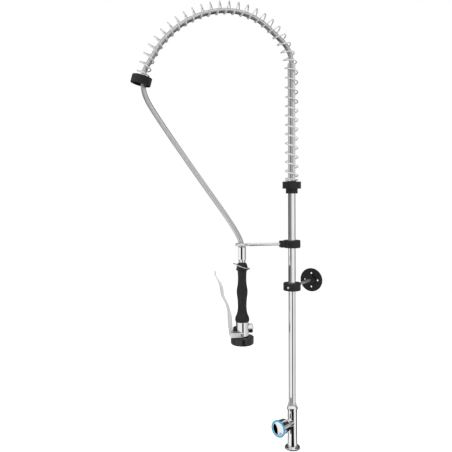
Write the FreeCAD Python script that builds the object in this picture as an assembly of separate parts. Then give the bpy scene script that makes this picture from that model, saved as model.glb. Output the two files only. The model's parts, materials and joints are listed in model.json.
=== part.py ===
import FreeCAD, Part
import math
import os

# Pre-rinse faucet. The origin is the centre of the foot on the deck, +Z is up the riser,
# and the hook arm and the spring arch reach towards -X. Millimetres and degrees.

# Clearances
RUNNING_GAP = 0.06
FIXED_GAP = 0.1
FACE_GAP = 0.3

# Base valve
FOOT_RADIUS = 20.5
FOOT_HEIGHT = 4
FOOT_ROUNDING = 1.8
BODY_RADIUS = 12.5
BODY_HEIGHT = 102
INLET_RADIUS = 9.3
INLET_DEPTH = 12
INLET_WASHER_THICKNESS = 1.5
INLET_WASHER_RADIUS = 8.6
INLET_WASHER_BORE = 6.5
INLET_DRILL_DEPTH = 20
PASSAGE_START = 16
GASKET_INNER = 13.5
GASKET_WIDTH = 4
GASKET_THICKNESS = 1.5
PASSAGE_RADIUS = 2.8
INLET_PASSAGE_OFFSET = 6.4
OUTLET_PASSAGE_OFFSET = 8.5
SPIGOT_RADIUS = 11.3
SPIGOT_HEIGHT = 4
SPIGOT_BORE = 8.5
SPIGOT_BORE_DEPTH = 14

# Headwork and knob, measured outwards from the riser axis along the knob axis
KNOB_AZIMUTH = 219
KNOB_AXIS_HEIGHT = 70
NECK_RADIUS = 11
NECK_END = 19
POCKET_RADIUS = 8
POCKET_START = -3.4
CHAMBER_RADIUS = 6.3
CHAMBER_END = 12
INLET_CHAMBER_RADIUS = 5.5
INLET_CHAMBER_DEPTH = 6
DISC_SEAL_THICKNESS = 1.4
DISC_THICKNESS = 3
DISC_RADIUS = 6.1
DISC_PORT_RADIUS = 1.5
DISC_PORT_OFFSET = 3.4
BUSH_COLLAR_THICKNESS = 1.5
BUSH_COLLAR_RADIUS = 11.6
BUSH_HEX_LENGTH = 4.5
BUSH_HEX_FLATS = 18
BUSH_NOSE_RADIUS = 6.5
BUSH_NOSE_LENGTH = 8
BUSH_PORT_RADIUS = 2.5
SPINDLE_RADIUS = 3.5
SPINDLE_FOOT_RADIUS = 4.2
SPINDLE_FOOT_LENGTH = 5.5
SPINDLE_SQUARE = 5
ORING_SECTION = 0.9
SPINDLE_ORING_PLACES = (15.5, 21.5)
KNOB_FRONT = 63.5
KNOB_BACK = 29
KNOB_BACK_RADIUS = 13
KNOB_WAIST_RADIUS = 18.2
KNOB_WAIST = 34
KNOB_FACE = 61
KNOB_FACE_RADIUS = 20.6
KNOB_WALL = 2
KNOB_WEB = 4
KNOB_HUB_RADIUS = 6
KNOB_HUB_LENGTH = 10
INDEX_RING_OUTER = 22.2
INDEX_RING_WIDTH = 4.6
INDEX_RING_ROUNDING = 1.2
CAP_RIM_HEIGHT = 1.4
CAP_POCKET = 4.5
CAP_DISH = 2.2
KNOB_SCREW_RADIUS = 2
KNOB_SCREW_LENGTH = 9
KNOB_SCREW_HEAD_RADIUS = 3.6
KNOB_SCREW_HEAD_HEIGHT = 2

# Riser
RISER_RADIUS = 10
RISER_BORE = 8.5
RISER_TOP = 1006
RISER_WASHER_THICKNESS = 1.4
TAIL_RING_RADIUS = 11.2
TAIL_RING_HEIGHT = 2.5
UNION_RADIUS = 15
UNION_FOOT_RADIUS = 12.9
UNION_TOP_RADIUS = 10.8
UNION_SHOULDER = 6
UNION_BELT = 8
UNION_HEIGHT = 19
UNION_WAIST_RADIUS = 12.1
UNION_WAIST = 14

# Hose coupling at the top of the riser
COUPLING_RADIUS = 10.5
COUPLING_PLUG = 20
COUPLING_SHOULDER = 10
COUPLING_STUB_RADIUS = 6
COUPLING_STUB = 17
COUPLING_BORE = 3.5
HOSE_NUT_HEIGHT = 20.6
HOSE_NUT_ROUNDING = 1.5
NIPPLE_RADIUS = 3.5
NIPPLE_LENGTH = 8
STUB_ORING_PLACES = (4, 11)

# Wall bracket
WALL_AZIMUTH = 50
WALL_CLAMP_HEIGHT = 435
WALL_CLAMP_LENGTH = 20
WALL_CLAMP_RADIUS = 23.5
WALL_BOSS_REACH = 33
WALL_BOSS_WIDTH = 18
WALL_BOSS_HEIGHT = 18
WALL_ROD_RADIUS = 4
WALL_ROD_START = 20
WALL_FACE_REACH = 131
WALL_FLANGE_RADIUS = 33.5
WALL_FLANGE_THICKNESS = 4
WALL_FLANGE_ROUNDING = 1.5
WALL_HOLE_CIRCLE = 19.5
WALL_HOLE_RADIUS = 2.6
WALL_HOLE_SINK = 4.2
WALL_BLOCK_SIDE = 25
WALL_BLOCK_LENGTH = 9
WALL_BLOCK_CORNER = 6
WALL_BLOCK_ROUNDING = 2
GRUB_RADIUS = 3
GRUB_SOCKET = 1.5
SMALL_GRUB_RADIUS = 2
SMALL_GRUB_SOCKET = 1
HEX_SOCKET_DEPTH = 2

# Hook arm; its eye lies just above the gun's sleeve
ARM_CLAMP_LENGTH = 20
ARM_CLAMP_RADIUS = 23
ARM_BOSS_REACH = 34
ARM_BOSS_WIDTH = 20
ARM_BOSS_HEIGHT = 18
ARM_SCREW_INSET = 6
ARM_WIRE_RADIUS = 3.9
ARM_START = 14
ARM_ABOVE_SLEEVE = 5.5
EYE_REACH = 139
EYE_RADIUS = 11.9
EYE_END_ANGLE = 58

# Both clamps
CLAMP_ROUNDING = 1.5
CLAMP_BOSS_ROUNDING = 3

# Spring seat on the riser
SEAT_BOTTOM = 699
SEAT_RADIUS = 25
SEAT_HEIGHT = 19.2
SEAT_ROUNDING = 1
SEAT_HUB_RADIUS = 12.5
SEAT_HUB_HEIGHT = 2
COLLAR_RADIUS = 16
COLLAR_HEIGHT = 13

# Spring arch: straight up the riser, then two arcs and a straight end
SPRING_WIRE_RADIUS = 1.75
SPRING_COIL_RADIUS = 16.6
SPRING_TURNS = 38
SPRING_CLOSED_PITCH = 4.1
SPRING_PHASE = 305
SPRING_FOOT_CLOSED = 0.75
SPRING_END_CLOSED = 0.5
# The pitch is widest where the arch begins and a little finer in the arch than on the riser
SPRING_RISER_TURNS = 10.75
SPRING_BEND_TURNS = 2.5
SPRING_BEND_PITCH = 1.08
SPRING_ARCH_PITCH = 0.94
ARCH_START = 1006
ARCH_RISE_RADIUS = 174.5
ARCH_RISE_ANGLE = 101
ARCH_FALL_RADIUS = 242.5
ARCH_FALL_ANGLE = 64.7
ARCH_END_LENGTH = 7

# End nut of the spring
END_NUT_RADIUS = 26.6
END_NUT_LENGTH = 22
END_NUT_BEVEL = 1.2
END_NUT_BORE = 15
END_NUT_RECESS = 17.5
END_NUT_RECESS_DEPTH = 7
END_NUT_SEAT = 1.5
END_BUSH_START = 4
END_BUSH_LENGTH = 10

# Hose
HOSE_RADIUS = 6.7
HOSE_BORE = 4
HOSE_INWARD = 7.8
HOSE_RISE_RADIUS = 80
HOSE_LEAVE_ANGLE = 60
HOSE_LEAVE_LENGTH = 46.3
HOSE_DROP_RADIUS = 63
HOSE_DROP_ANGLE = 90

# Where the free hose ends in the gun; all the gun's heights follow from it
GUN_REACH = 136.5
HOSE_END = 528
# Reach and height of the free hose's route after its exit from the end nut
FREE_HOSE_ROUTE = [
    (396.4, 966),
    (392.9, 946.5),
    (384.5, 927),
    (372.7, 907),
    (348.1, 869),
    (301.8, 801),
    (235.2, 706),
    (190.8, 644),
    (165, 606),
    (147.9, 577.5),
    (139.7, 559),
    (GUN_REACH, 543.5),
    (GUN_REACH, HOSE_END),
]

# Swivel sleeve round the hose's end, its tail and the collar under it
SLEEVE_RADIUS = 10.5
SLEEVE_EDGE = 1
SLEEVE_BORE = 9.2
SLEEVE_CUP = 16.5
SLEEVE_DEPTH = 16
SLEEVE_FOOT = 1
SLEEVE_TAPER = 9
SLEEVE_BOTTOM_RADIUS = 8
TAIL_RADIUS = 5.5
TAIL_HEAD_RADIUS = 8.8
TAIL_LENGTH = 46
TAIL_ORING_PLACES = (3, 6.5)
CLIP_DROP = 3.2
CLIP_THICKNESS = 1.2
CLIP_RADIUS = 7.4
CLIP_GROOVE = 4.8
CLIP_GAP_WIDTH = 3
COLLAR_LENGTH = 21.3
GRIP_COLLAR_TOP_RADIUS = 10.6
GRIP_COLLAR_RADIUS = 14.8
GRIP_COLLAR_FOOT_RADIUS = 12.8
GRIP_COLLAR_CAVITY = 8.6
GRIP_COLLAR_DOME = 5.5
GRIP_COLLAR_BULGE = 1.3
FLANGE_RADIUS = 16.8
FLANGE_DROP = 15.9
FLANGE_THICKNESS = 2.5
FLANGE_EDGE = 0.8
TUBE_RADIUS = 7.2
TUBE_BORE = 4.5
TUBE_DROP = 11
TUBE_OVERLAP = 8
TUBE_SOCKET_DEPTH = 2
# Radius of the grip's contour and its drop below the grip's top
GRIP_CONTOUR = [
    (12.2, 0),
    (11.2, 16.2),
    (11.8, 33.2),
    (14.7, 53.2),
    (12.6, 75.2),
    (11.8, 90.2),
    (12.8, 107.2),
    (18.4, 122.5),
]
GRIP_LENGTH = 134.5
GRIP_FOOT_RADIUS = 19.2
GRIP_FOOT_ROUNDING = 4.4

# Valve body of the gun
VALVE_RADIUS = 17.6
VALVE_LENGTH = 38.7
VALVE_NECK_RADIUS = 9
VALVE_NECK_LENGTH = 7.8
VALVE_EDGE = 1.2
VALVE_AXIS_DROP = 18.8
BOSS_RADIUS = 11
BOSS_REACH = 18.8
BONNET_RADIUS = 12.1
BONNET_LENGTH = 9.7
BONNET_ROUNDING = 3
BONNET_PLUG_RADIUS = 9
BONNET_PLUG_LENGTH = 5
BONNET_CAVITY = 7.4
BONNET_WALL = 3.5
SEAT_PLACE = 5
SEAT_BORE = 5
CENTRE_CHAMBER = 5.5
INLET_DUCT_RADIUS = 3
INLET_DUCT_REACH = 11
INLET_DUCT_RISE = 4
OUTLET_RADIUS = 5
STEM_RADIUS = 3
STEM_HEAD_RADIUS = 3.6
STEM_GUIDE_END = -8
STEM_TRAVEL = 3.4
POPPET_RADIUS = 7
POPPET_THICKNESS = 3
VALVE_SPRING_RADIUS = 5
VALVE_SPRING_WIRE = 0.6
VALVE_SPRING_TURNS = 5
BOOT_LENGTH = 6.6
BOOT_FOOT_RADIUS = 7
BOOT_TIP_RADIUS = 4.5

# Lever: its foot is a yoke round the valve body, held by a shoulder screw on each side
PIN_OFFSET = 4
PIN_RISE = 7
PIN_RADIUS = 2
PIN_DEPTH = 5
PIN_BOSS_RADIUS = 5
PIN_HEAD_RADIUS = 3.8
PIN_HEAD_HEIGHT = 1.8
PIN_SOCKET = 1.2
YOKE_GAP = 1
YOKE_HALF_HEIGHT = 6.2
YOKE_CORNER = 3
LEVER_WIDTH = 14
LEVER_WALL = 1.5
# Offset from the gun axis and height above the pin of the lever's outer edge, from foot to tip
LEVER_OUTER_EDGE = [
    (-33, -6.2),
    (-35.6, 8),
    (-38.4, 36),
    (-39.4, 57),
    (-44.8, 79),
    (-55, 99),
    (-60.5, 126),
    (-66.5, 145),
    (-72.6, 157.5),
    (-73.2, 166.5),
]
# The same for its inner edge, from tip to foot
LEVER_INNER_EDGE = [
    (-71.4, 166.5),
    (-70.8, 158),
    (-63.5, 144.5),
    (-53.5, 129),
    (-48.6, 103),
    (-39.6, 83),
    (-31.8, 60),
    (-28.6, 46),
    (-28, 36),
    (-26.8, 16),
    (-27.2, 2),
    (-28.5, -6.2),
]

# Hold-open ring
RING_WIRE_RADIUS = 1
RING_RADIUS = 22
RING_PIVOT_OFFSET = 18.2
RING_PIVOT_DROP = 0.5
RING_TILT = 19.6
RING_LUG_WIDTH = 3.4
RING_HOLE_RADIUS = 1.3
RING_HOLE_RIM = 0.8

# Spray head
HEAD_NECK_LENGTH = 3
HEAD_SHELL_RADIUS = 25
HEAD_SHELL_WALL = 2
HEAD_SHELL_HEIGHT = 16
HEAD_NECK_RADIUS = 12
BRIDGE_WIDTH = 6
BUMPER_RADIUS = 30.8
BUMPER_ABOVE = 2
BUMPER_BELOW = 18.5
BUMPER_INNER_TOP = 18
BUMPER_TOP_ROUNDING = 1.5
BUMPER_FOOT_ROUNDING = 5
BUMPER_LIP = 23.2
PLATE_THICKNESS = 1.5
PLATE_INSET = 0.8
PLATE_HOLE_RADIUS = 0.9
PLATE_HOLE_CIRCLES = (8, 13, 18.5)
PLATE_HOLE_SPACING = 6.4
PLATE_SCREW_RADIUS = 2
PLATE_SCREW_HEAD_RADIUS = 4
PLATE_SCREW_HEAD_HEIGHT = 1.8
PLATE_SCREW_SOCKET = 3

# Heights on the gun, from its hose end down to the spray head
SLEEVE_TOP = HOSE_END + SLEEVE_CUP
SLEEVE_FLOOR = HOSE_END - SLEEVE_DEPTH
SLEEVE_SHOULDER = SLEEVE_FLOOR - SLEEVE_FOOT
SLEEVE_BOTTOM = SLEEVE_SHOULDER - SLEEVE_TAPER
ARM_HEIGHT = SLEEVE_TOP + ARM_ABOVE_SLEEVE
TAIL_BOTTOM = HOSE_END - TAIL_LENGTH
CLIP_HEIGHT = SLEEVE_BOTTOM - CLIP_DROP
GRIP_COLLAR_TOP = SLEEVE_BOTTOM - 2 * FIXED_GAP
GRIP_COLLAR_BOTTOM = GRIP_COLLAR_TOP - COLLAR_LENGTH
FLANGE_TOP = GRIP_COLLAR_TOP - FLANGE_DROP
TUBE_TOP = GRIP_COLLAR_TOP - TUBE_DROP
GRIP_TOP = GRIP_COLLAR_BOTTOM - FACE_GAP
GRIP_BOTTOM = GRIP_TOP - GRIP_LENGTH
VALVE_TOP = GRIP_BOTTOM
VALVE_BOTTOM = VALVE_TOP - VALVE_LENGTH
VALVE_NECK_TOP = VALVE_TOP + VALVE_NECK_LENGTH
VALVE_AXIS_HEIGHT = VALVE_TOP - VALVE_AXIS_DROP
PIN_HEIGHT = VALVE_BOTTOM + PIN_RISE
RING_PIVOT_HEIGHT = FLANGE_TOP - RING_PIVOT_DROP
HEAD_TOP = VALVE_BOTTOM - HEAD_NECK_LENGTH
HEAD_SHELL_BOTTOM = HEAD_TOP - HEAD_SHELL_HEIGHT
BUMPER_TOP = HEAD_TOP + BUMPER_ABOVE
BUMPER_BOTTOM = HEAD_TOP - BUMPER_BELOW

UP = FreeCAD.Vector(0, 0, 1)
ALONG_X = FreeCAD.Vector(1, 0, 0)
ALONG_Y = FreeCAD.Vector(0, 1, 0)
ORIGIN = FreeCAD.Vector(0, 0, 0)


def heading(azimuth):
    """Horizontal unit vector at an angle from +X."""
    angle = math.radians(azimuth)
    return FreeCAD.Vector(math.cos(angle), math.sin(angle), 0)


def in_arch(reach, height):
    """Point of the arch's plane, by its reach from the riser and its height."""
    return FreeCAD.Vector(-reach, 0, height)


KNOB_AXIS = heading(KNOB_AZIMUTH)
KNOB_ORIGIN = FreeCAD.Vector(0, 0, KNOB_AXIS_HEIGHT)
WALL_AXIS = heading(WALL_AZIMUTH)
WALL_ORIGIN = FreeCAD.Vector(0, 0, WALL_CLAMP_HEIGHT)
GUN_ORIGIN = FreeCAD.Vector(-GUN_REACH, 0, 0)
VALVE_ORIGIN = FreeCAD.Vector(-GUN_REACH, 0, VALVE_AXIS_HEIGHT)
PIN_CENTRE = FreeCAD.Vector(-GUN_REACH - PIN_OFFSET, 0, PIN_HEIGHT)


def placed(shape, origin=ORIGIN, axis=UP):
    """Moves a shape drawn about +Z from the origin to another axis."""
    shape.Placement = FreeCAD.Placement(origin, FreeCAD.Rotation(UP, axis))
    return shape


def cylinder(radius, start, end, origin=ORIGIN, axis=UP):
    """Solid rod along an axis, from start to end measured from its origin."""
    return Part.makeCylinder(radius, end - start, origin + axis * start, axis)


def tube(outer, inner, start, end, origin=ORIGIN, axis=UP):
    """Round ring or pipe along an axis."""
    return cylinder(outer, start, end, origin, axis).cut(
        cylinder(inner, start - 1, end + 1, origin, axis))


def outline_wire(points):
    """Closed wire in the XZ plane; a point of four numbers ends an arc through its last two."""
    first = FreeCAD.Vector(points[0][0], 0, points[0][1])
    here = first
    edges = []
    for point in points[1:] + [points[0][:2]]:
        there = FreeCAD.Vector(point[0], 0, point[1])
        if len(point) == 4:
            middle = FreeCAD.Vector(point[2], 0, point[3])
            edges.append(Part.Arc(here, middle, there).toShape())
        else:
            edges.append(Part.LineSegment(here, there).toShape())
        here = there
    return Part.Wire(edges)


def turned(points, origin=ORIGIN, axis=UP):
    """Solid of revolution of an outline of (radius, distance along the axis)."""
    solid = Part.Face(outline_wire(points)).revolve(ORIGIN, UP, 360)
    return placed(solid, origin, axis)


def oring(radius, place, origin=ORIGIN, axis=UP):
    """O-ring whose outer edge is at the radius, centred at a place along an axis."""
    section = ORING_SECTION / 2
    return Part.makeTorus(radius - section, section, origin + axis * place, axis)


def oring_groove(radius, place, origin=ORIGIN, axis=UP):
    """Ring-shaped cut that holds an O-ring below the surface of a shaft."""
    floor = radius - ORING_SECTION - RUNNING_GAP
    half = ORING_SECTION / 2 + RUNNING_GAP
    return tube(radius + 1, floor, place - half, place + half, origin, axis)


def hexagon(flats, start, end, origin=ORIGIN, axis=UP):
    """Hexagonal prism by its width across flats."""
    corner = flats / math.sqrt(3)
    corners = [heading(60 * i) * corner + UP * start for i in range(7)]
    prism = Part.Face(Part.makePolygon(corners)).extrude(UP * (end - start))
    return placed(prism, origin, axis)


def grub_screw(radius, socket, start, end, origin, axis):
    """Headless screw with a hexagonal socket in its outer end."""
    screw = cylinder(radius, start, end, origin, axis)
    return screw.cut(hexagon(2 * socket, end - HEX_SOCKET_DEPTH, end + 1, origin, axis))


def rounded(shape, size, wanted):
    """Fillets the edges of a shape that the test picks."""
    edges = [edge for edge in shape.Edges if wanted(edge)]
    return shape.makeFillet(size, edges)


def is_rim(edge, radius, height, centre=ORIGIN):
    """True for a full horizontal circle of the given radius and height."""
    curve = edge.Curve
    if not isinstance(curve, Part.Circle) or abs(curve.Radius - radius) > 0.01:
        return False
    offset = curve.Center - centre
    return abs(offset.z - height) < 0.01 and math.hypot(offset.x, offset.y) < 0.01


def swept(path_edges, radius):
    """Round solid rod along a smooth chain of edges."""
    path = Part.Wire(path_edges)
    start = path_edges[0].valueAt(path_edges[0].FirstParameter)
    direction = path_edges[0].tangentAt(path_edges[0].FirstParameter)
    section = Part.Wire(Part.Circle(start, direction, radius).toShape())
    return path.makePipeShell([section], True, False)


def route_edges(points):
    """Straight runs joined by tangent arcs as large as the runs allow, and the arcs' radii."""
    edges = []
    radii = []
    here = points[0]
    for before, corner, after in zip(points, points[1:], points[2:]):
        back = before - corner
        ahead = after - corner
        shorter = min(back.Length, ahead.Length)
        back.normalize()
        ahead.normalize()
        half_turn = (math.pi - back.getAngle(ahead)) / 2
        setback = 0.45 * shorter
        radius = setback / math.tan(half_turn)
        arc_start = corner + back * setback
        arc_end = corner + ahead * setback
        inward = back + ahead
        inward.normalize()
        middle = corner + inward * (radius / math.cos(half_turn) - radius)
        edges.append(Part.LineSegment(here, arc_start).toShape())
        edges.append(Part.Arc(arc_start, middle, arc_end).toShape())
        radii.append(radius)
        here = arc_end
    edges.append(Part.LineSegment(here, points[-1]).toShape())
    return edges, radii


class Trail:
    """A path in the arch's plane made of straight runs and right-hand arcs."""

    def __init__(self, reach, height, angle=90):
        self.reach = reach
        self.height = height
        self.angle = angle
        self.pieces = []
        self.length = 0

    def centre(self, radius):
        """Centre of an arc that would start here and turn right."""
        angle = math.radians(self.angle)
        return (self.reach + radius * math.sin(angle), self.height - radius * math.cos(angle))

    def straight(self, length):
        self.pieces.append((self.length, length, self.reach, self.height, self.angle, None))
        angle = math.radians(self.angle)
        self.reach += length * math.cos(angle)
        self.height += length * math.sin(angle)
        self.length += length

    def bend(self, radius, turn):
        centre = self.centre(radius)
        length = radius * math.radians(turn)
        self.pieces.append((self.length, length, self.reach, self.height, self.angle, radius))
        self.angle -= turn
        angle = math.radians(self.angle)
        self.reach = centre[0] - radius * math.sin(angle)
        self.height = centre[1] + radius * math.cos(angle)
        self.length += length

    def at(self, distance):
        """Reach, height and heading angle at a distance along the path."""
        piece = self.pieces[0]
        for candidate in self.pieces:
            if candidate[0] <= distance:
                piece = candidate
        start, length, reach, height, angle, radius = piece
        along = distance - start
        if radius is None:
            turned_to = math.radians(angle)
            return (reach + along * math.cos(turned_to), height + along * math.sin(turned_to),
                    turned_to)
        first = math.radians(angle)
        turned_to = first - along / radius
        return (reach + radius * (math.sin(first) - math.sin(turned_to)),
                height - radius * (math.cos(first) - math.cos(turned_to)), turned_to)

    def edges(self):
        """Edges of the whole path."""
        edges = []
        for start, length, reach, height, angle, radius in self.pieces:
            first = in_arch(reach, height)
            last = in_arch(*self.at(start + length - 1e-9)[:2])
            if radius is None:
                edges.append(Part.LineSegment(first, last).toShape())
            else:
                middle = in_arch(*self.at(start + length / 2)[:2])
                edges.append(Part.Arc(first, middle, last).toShape())
        return edges


def biarc(start, start_direction, end, end_direction):
    """Two arcs that leave one point and reach another along given directions."""
    chord = end - start
    both = start_direction + end_direction
    a = 2 * (1 - start_direction.dot(end_direction))
    b = 2 * chord.dot(both)
    c = -chord.dot(chord)
    if abs(a) < 1e-9:
        reach = -c / b
    else:
        reach = (-b + math.sqrt(b * b - 4 * a * c)) / (2 * a)
    joint = (start + start_direction * reach + end - end_direction * reach) * 0.5
    arcs = []
    for first, last, direction, side in ((start, joint, start_direction, 1),
                                         (end, joint, end_direction, -1)):
        span = last - first
        corner = first + direction * (side * reach)
        foot = (first + last) * 0.5
        rise = corner - foot
        half = span.Length / 2
        slope = math.atan2(rise.Length, half)
        rise.normalize()
        middle = foot + rise * (half * math.tan(slope / 2))
        if side == 1:
            arcs.append(Part.Arc(first, middle, last).toShape())
        else:
            arcs.append(Part.Arc(last, middle, first).toShape())
    return arcs


def coil(points, directions, tail, wire_radius):
    """Wire coil through points with given directions, with a straight tail at each end."""
    edges = [Part.LineSegment(points[0] - directions[0] * tail, points[0]).toShape()]
    for i in range(len(points) - 1):
        edges += biarc(points[i], directions[i], points[i + 1], directions[i + 1])
    edges.append(Part.LineSegment(points[-1], points[-1] + directions[-1] * tail).toShape())
    return swept(edges, wire_radius), edges


def least_gap(edges, wire_radius, neighbours):
    """Least gap of a coil to itself, measured on points along its centreline."""
    marks = []
    for edge in edges:
        marks += edge.discretize(4)[:-1]
    least = 1e9
    for i, mark in enumerate(marks):
        for other in marks[i + neighbours:]:
            least = min(least, mark.distanceToPoint(other))
    return least - 2 * wire_radius


def base_valve():
    """Foot, body and side neck with its waterways, gasket and inlet washer."""
    body = cylinder(FOOT_RADIUS, 0, FOOT_HEIGHT)
    body = rounded(body, FOOT_ROUNDING, lambda edge: is_rim(edge, FOOT_RADIUS, FOOT_HEIGHT))
    body = body.fuse(cylinder(BODY_RADIUS, 0, BODY_HEIGHT))
    body = rounded(body, FOOT_ROUNDING, lambda edge: is_rim(edge, BODY_RADIUS, FOOT_HEIGHT))
    body = body.fuse(cylinder(SPIGOT_RADIUS, BODY_HEIGHT, BODY_HEIGHT + SPIGOT_HEIGHT))
    body = body.fuse(cylinder(NECK_RADIUS, 0, NECK_END, KNOB_ORIGIN, KNOB_AXIS))
    inlet_passage = KNOB_AXIS * -INLET_PASSAGE_OFFSET
    outlet_passage = KNOB_AXIS * OUTLET_PASSAGE_OFFSET
    bore_floor = BODY_HEIGHT + SPIGOT_HEIGHT - SPIGOT_BORE_DEPTH
    chamber_start = POCKET_START - INLET_CHAMBER_DEPTH
    cuts = [
        cylinder(INLET_RADIUS, -1, INLET_DEPTH),
        cylinder(INLET_WASHER_RADIUS + FIXED_GAP, 0, INLET_DEPTH + INLET_WASHER_THICKNESS),
        tube(GASKET_INNER + GASKET_WIDTH, GASKET_INNER, -1, GASKET_THICKNESS),
        cylinder(INLET_WASHER_BORE, 0, INLET_DRILL_DEPTH),
        cylinder(PASSAGE_RADIUS, PASSAGE_START, KNOB_AXIS_HEIGHT, inlet_passage),
        cylinder(INLET_CHAMBER_RADIUS, chamber_start, POCKET_START + 1, KNOB_ORIGIN, KNOB_AXIS),
        cylinder(POCKET_RADIUS, POCKET_START, NECK_END + 1, KNOB_ORIGIN, KNOB_AXIS),
        cylinder(PASSAGE_RADIUS, KNOB_AXIS_HEIGHT, bore_floor + 2, outlet_passage),
        cylinder(SPIGOT_BORE, bore_floor, BODY_HEIGHT + SPIGOT_HEIGHT + 1),
    ]
    for cut in cuts:
        body = body.cut(cut)
    gasket = tube(GASKET_INNER + GASKET_WIDTH - FIXED_GAP, GASKET_INNER + FIXED_GAP,
                  0, GASKET_THICKNESS)
    washer = tube(INLET_WASHER_RADIUS, INLET_WASHER_BORE, INLET_DEPTH,
                  INLET_DEPTH + INLET_WASHER_THICKNESS)
    return {"base_body": body, "deck_gasket": gasket, "inlet_washer": washer}


def headwork():
    """Bush screwed into the neck with its seals and the ceramic disc that stays still."""
    seal_end = POCKET_START + DISC_SEAL_THICKNESS
    collar_end = NECK_END + BUSH_COLLAR_THICKNESS
    hex_end = collar_end + BUSH_HEX_LENGTH
    nose_end = hex_end + BUSH_NOSE_LENGTH
    bush = cylinder(POCKET_RADIUS - FIXED_GAP, seal_end, NECK_END, KNOB_ORIGIN, KNOB_AXIS)
    bush = bush.fuse(cylinder(BUSH_COLLAR_RADIUS, NECK_END, collar_end, KNOB_ORIGIN, KNOB_AXIS))
    bush = bush.fuse(hexagon(BUSH_HEX_FLATS, collar_end, hex_end, KNOB_ORIGIN, KNOB_AXIS))
    bush = bush.fuse(cylinder(BUSH_NOSE_RADIUS, hex_end, nose_end, KNOB_ORIGIN, KNOB_AXIS))
    port = KNOB_AXIS * OUTLET_PASSAGE_OFFSET + KNOB_ORIGIN
    bush = bush.cut(cylinder(CHAMBER_RADIUS, seal_end - 1, CHAMBER_END, KNOB_ORIGIN, KNOB_AXIS))
    bush = bush.cut(cylinder(SPINDLE_RADIUS + RUNNING_GAP, 0, nose_end + 1, KNOB_ORIGIN, KNOB_AXIS))
    bush = bush.cut(cylinder(BUSH_PORT_RADIUS, 0, POCKET_RADIUS + 1, port))
    groove_place = CHAMBER_END + 3
    groove_radius = POCKET_RADIUS - FIXED_GAP
    bush = bush.cut(oring_groove(groove_radius, groove_place, KNOB_ORIGIN, KNOB_AXIS))
    seal = tube(POCKET_RADIUS - FIXED_GAP, DISC_PORT_OFFSET + DISC_PORT_RADIUS,
                POCKET_START, seal_end, KNOB_ORIGIN, KNOB_AXIS)
    fixed = ceramic_disc(seal_end)
    return {
        "headwork_bush": bush,
        "bush_oring": oring(groove_radius, groove_place, KNOB_ORIGIN, KNOB_AXIS),
        "disc_seal": seal,
        "fixed_disc": fixed,
    }


def ceramic_disc(start):
    """Ceramic disc with its two ports, one above and one below the knob axis."""
    disc = cylinder(DISC_RADIUS, start, start + DISC_THICKNESS, KNOB_ORIGIN, KNOB_AXIS)
    for side in (-1, 1):
        port_origin = KNOB_ORIGIN + UP * (side * DISC_PORT_OFFSET)
        disc = disc.cut(cylinder(DISC_PORT_RADIUS, start - 1, start + DISC_THICKNESS + 1,
                                 port_origin, KNOB_AXIS))
    return disc


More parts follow.
